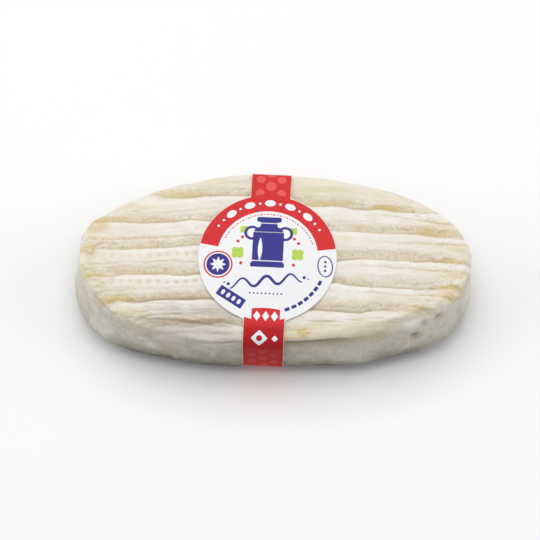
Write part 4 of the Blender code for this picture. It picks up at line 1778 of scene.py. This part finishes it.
# Each mask, the colour that it mixes in and, where a grain breaks it up, that grain with
# its value where the layer starts and where it is full, and the layer's strength at both
LAYERS = (
    ("warm", WARM, None),
    ("grey", GREY, None),
    ("grey", FROST, (fleck, 0.47, 0.62, 0.0, 0.42)),
    ("grey", DUSK, (fuzz, 0.52, 0.36, 0.0, 0.36)),
    # painted shade towards the foot
    ("low", PAINTED_FOOT_SHADE, None),
    ("frost", FROST, (mottle, 0.35, 0.65, 0.2, 1.0)),
    ("stain", STAIN, (broad, 0.3, 0.7, 0.2, 0.9)),
    # painted highlight on each rib's back edge
    ("edge_highlight", EDGE_HIGHLIGHT, (fleck, 0.3, 0.6, 0.5, 1.0)),
    ("crest", TAN, (streak, 0.52, 0.70, 0.0, 0.35)),
    ("tan", TAN, None),
    ("tan", SPECK, (fleck, 0.46, 0.64, 0.0, 0.80)),
    ("pit", SPECK, None),
    ("yellow", YELLOW, (fuzz, 0.36, 0.60, 1.0, 0.55)),
    ("mauve", MAUVE, (fleck, 0.30, 0.62, 1.0, 0.65)),
    # tan and painted shade along each furrow's floor
    ("furrow", FURROW_TAN_AND_SHADE, None),
    # brown and painted shade in creases, dents, deep furrows and under the lip
    ("crease_brown_and_shade", CREASE_BROWN_AND_SHADE, None),
)

colour = n.mix(n.spread(broad, *CREAM_RANGE), CREAM, CREAM_WARM)
colour = n.mix(n.spread(mottle, *MOTTLE_RANGE), colour, TAN)
for mask, shade, broken in LAYERS:
    amount = n.speckled(mask, *broken) if broken else n.mask(mask)
    colour = n.mix(amount, colour, shade)
print("nodes in the rind's tree:", len(n.tree.nodes))

# %% Finish of the rind
# Height and strength of each grain's relief
STREAK_RELIEF = 0.35 * MM, 0.6
FUZZ_RELIEF = 0.5 * MM, 0.6
VELVET_RELIEF = 0.12 * MM, 0.5

normal = n.bump(n.product(streak, n.mask("crest")), *STREAK_RELIEF)
normal = n.bump(fuzz, *FUZZ_RELIEF, normal)
normal = n.bump(velvet, *VELVET_RELIEF, normal)
n.surface(
    Base_Color=colour,
    Roughness=0.72,
    Specular_IOR_Level=0.25,
    Subsurface_Weight=0.22,
    Subsurface_Radius=(1.0, 0.75, 0.5),
    Subsurface_Scale=1.2 * MM,
    Sheen_Weight=0.12,
    Sheen_Roughness=0.6,
    Normal=normal,
)
rind.data.materials.append(n.material)
print("finish of the rind:", n.material.name)

# %% [markdown]
# ## The printed paper
# Paper with a thin coat is nearly matt, with a faint grain of fibres, and its inks are
# flat. They could be separate faces, but then the mesh would have to follow every curve.
# Each signed distance is instead turned into a soft step one tenth of a millimetre wide,
# about as sharp as real print, and mixes its ink over the ones before it. Where the strap
# turns down at the front, its red is darkened by painted shade.

# %% Inks and paper
WHITE_INK = srgb(241, 241, 243)
RED_INK = srgb(213, 59, 61)
RED_TONE = srgb(230, 98, 93)
RED_SHADE = srgb(168, 30, 34)
BLUE_INK = srgb(68, 66, 142)
GREEN_INK = srgb(186, 212, 92)
INK_EDGE = 0.05
RED_SHADE_MOST = 0.75
PRINTED_EDGE = 0.35, 0.65
FIBRE = 1400
FIBRE_RANGE = 0.3, 0.7
PAPER_ROUGHNESS = 0.42, 0.52
FIBRE_RELIEF = 0.03 * MM, 0.25

n = Nodes("printed_paper")
prints = {ink: n.spread(n.mask("ink_" + ink), -INK_EDGE, INK_EDGE, 1.0, 0.0) for ink in inks}
red_field = n.mix(prints["tone"], RED_INK, RED_TONE)
# painted shade: a darker red where the strap turns down at the front
red_field = n.mix(n.spread(n.mask("fold"), 0.0, 1.0, 0.0, RED_SHADE_MOST), red_field, RED_SHADE)
colour = n.mix(prints["red"], WHITE_INK, red_field)
for ink, shade in (("white", WHITE_INK), ("green", GREEN_INK), ("blue", BLUE_INK)):
    colour = n.mix(prints[ink], colour, shade)
colour = n.mix(n.spread(n.mask("printed"), *PRINTED_EDGE), WHITE_INK, colour)
fibre = n.grain(FIBRE)
n.surface(
    Base_Color=colour,
    Specular_IOR_Level=0.03,
    Roughness=n.spread(fibre, *FIBRE_RANGE, *PAPER_ROUGHNESS),
    Normal=n.bump(fibre, *FIBRE_RELIEF),
)
paper.data.materials.append(n.material)
print("inks:", ", ".join(inks))

# %% [markdown]
# ## Pieces in place of the solids
# Each finished piece stands in for the solid with its form, which stays for collisions. It
# rides on the same body.

# %% Pieces in place of the solids
for piece, node, slot in ((rind, "cheese", "bloomy_rind"), (paper, "paper_band", "printed_paper")):
    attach(piece, "root")
    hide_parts(node)
    print(piece.name, "stands for", node)

# %% [markdown]
# ## Floor and light
# A pale cheese is best seen on a plain pale floor under a large soft light from above and
# behind, which shades the ribs' front flanks, with two weaker ones at the sides. A sky
# picture would do, but area lights say plainly where the light comes from. The floor is
# for looks alone, so it is given to the stage and is no part of the cheese.

# %% Floor
FLOOR_HALF = 1.5
FLOOR_DROP = 0.1 * MM

corners = [(x * FLOOR_HALF, y * FLOOR_HALF, 0) for x, y in CORNERS]
mesh = bpy.data.meshes.new("floor")
mesh.from_pydata(corners, [], [(0, 1, 2, 3)])
floor = bpy.data.objects.new("floor", mesh)
floor.location.z = -FLOOR_DROP
bpy.context.scene.collection.objects.link(floor)
n = Nodes("floor")
n.surface(Base_Color=srgb(250, 250, 250), Roughness=0.9, Specular_IOR_Level=0.0)
floor.data.materials.append(n.material)
floor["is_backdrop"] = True
print("the floor is", 2 * FLOOR_HALF, "m wide")

# %% Lights
MIDDLE = Vector((-0.0005, 0.0, 0.013))
# Name, place, size in m and power in W of each lamp
LAMPS = (
    ("key", (-0.1, 0.42, 1.25), 1.4, 12.2),
    ("left", (-0.95, 0.05, 0.5), 0.8, 3.4),
    ("right", (0.95, 0.05, 0.5), 0.8, 3.4),
)
SKY_STRENGTH = 0.30

for name, place, size, power in LAMPS:
    lamp = bpy.data.lights.new(name, "AREA")
    lamp.shape = "SQUARE"
    lamp.size = size
    lamp.energy = power
    holder = bpy.data.objects.new(name, lamp)
    holder.location = place
    holder.rotation_euler = (MIDDLE - Vector(place)).to_track_quat("-Z", "Y").to_euler()
    bpy.context.scene.collection.objects.link(holder)
    print(name, "light of", power, "W")

world = bpy.context.scene.world or bpy.data.worlds.new("studio")
bpy.context.scene.world = world
world.use_nodes = True
background = world.node_tree.nodes["Background"]
background.inputs["Color"].default_value = (1.0, 1.0, 1.0, 1.0)
background.inputs["Strength"].default_value = SKY_STRENGTH
bpy.context.scene.view_settings.view_transform = "Standard"

# %% [markdown]
# ## Camera
# The photographer stood at the long side and looked steeply down. A long lens from farther
# off keeps the far rim almost as long as the near one. The lens follows from the field of
# view: half the sensor over the tangent of half the angle.

# %% Camera
ELEVATION = math.radians(67.0)
DISTANCE = 0.57
FIELD = math.radians(17.54)
SENSOR = 36.0
TARGET = Vector((-0.0005, -0.0002, 0.013))
NEAR, FAR = 0.01, 10.0

data = bpy.data.cameras.new("camera")
data.sensor_width = SENSOR
data.lens = SENSOR / 2 / math.tan(FIELD / 2)
data.clip_start, data.clip_end = NEAR, FAR
camera = bpy.data.objects.new("camera", data)
back = Vector((0, -math.cos(ELEVATION), math.sin(ELEVATION)))
camera.location = TARGET + back * DISTANCE
camera.rotation_euler = (-back).to_track_quat("-Z", "Y").to_euler()
bpy.context.scene.collection.objects.link(camera)
bpy.context.scene.camera = camera
print(f"lens of {data.lens:.0f} mm at {DISTANCE} m")

# %% [markdown]
# ## Box of the pieces
# The box of the finished pieces is printed in mm.

# %% Box of the pieces
visual_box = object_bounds()
rounded = [[round(side / MM, 1) for side in corner] for corner in visual_box]
print("box of the pieces in mm:", rounded)
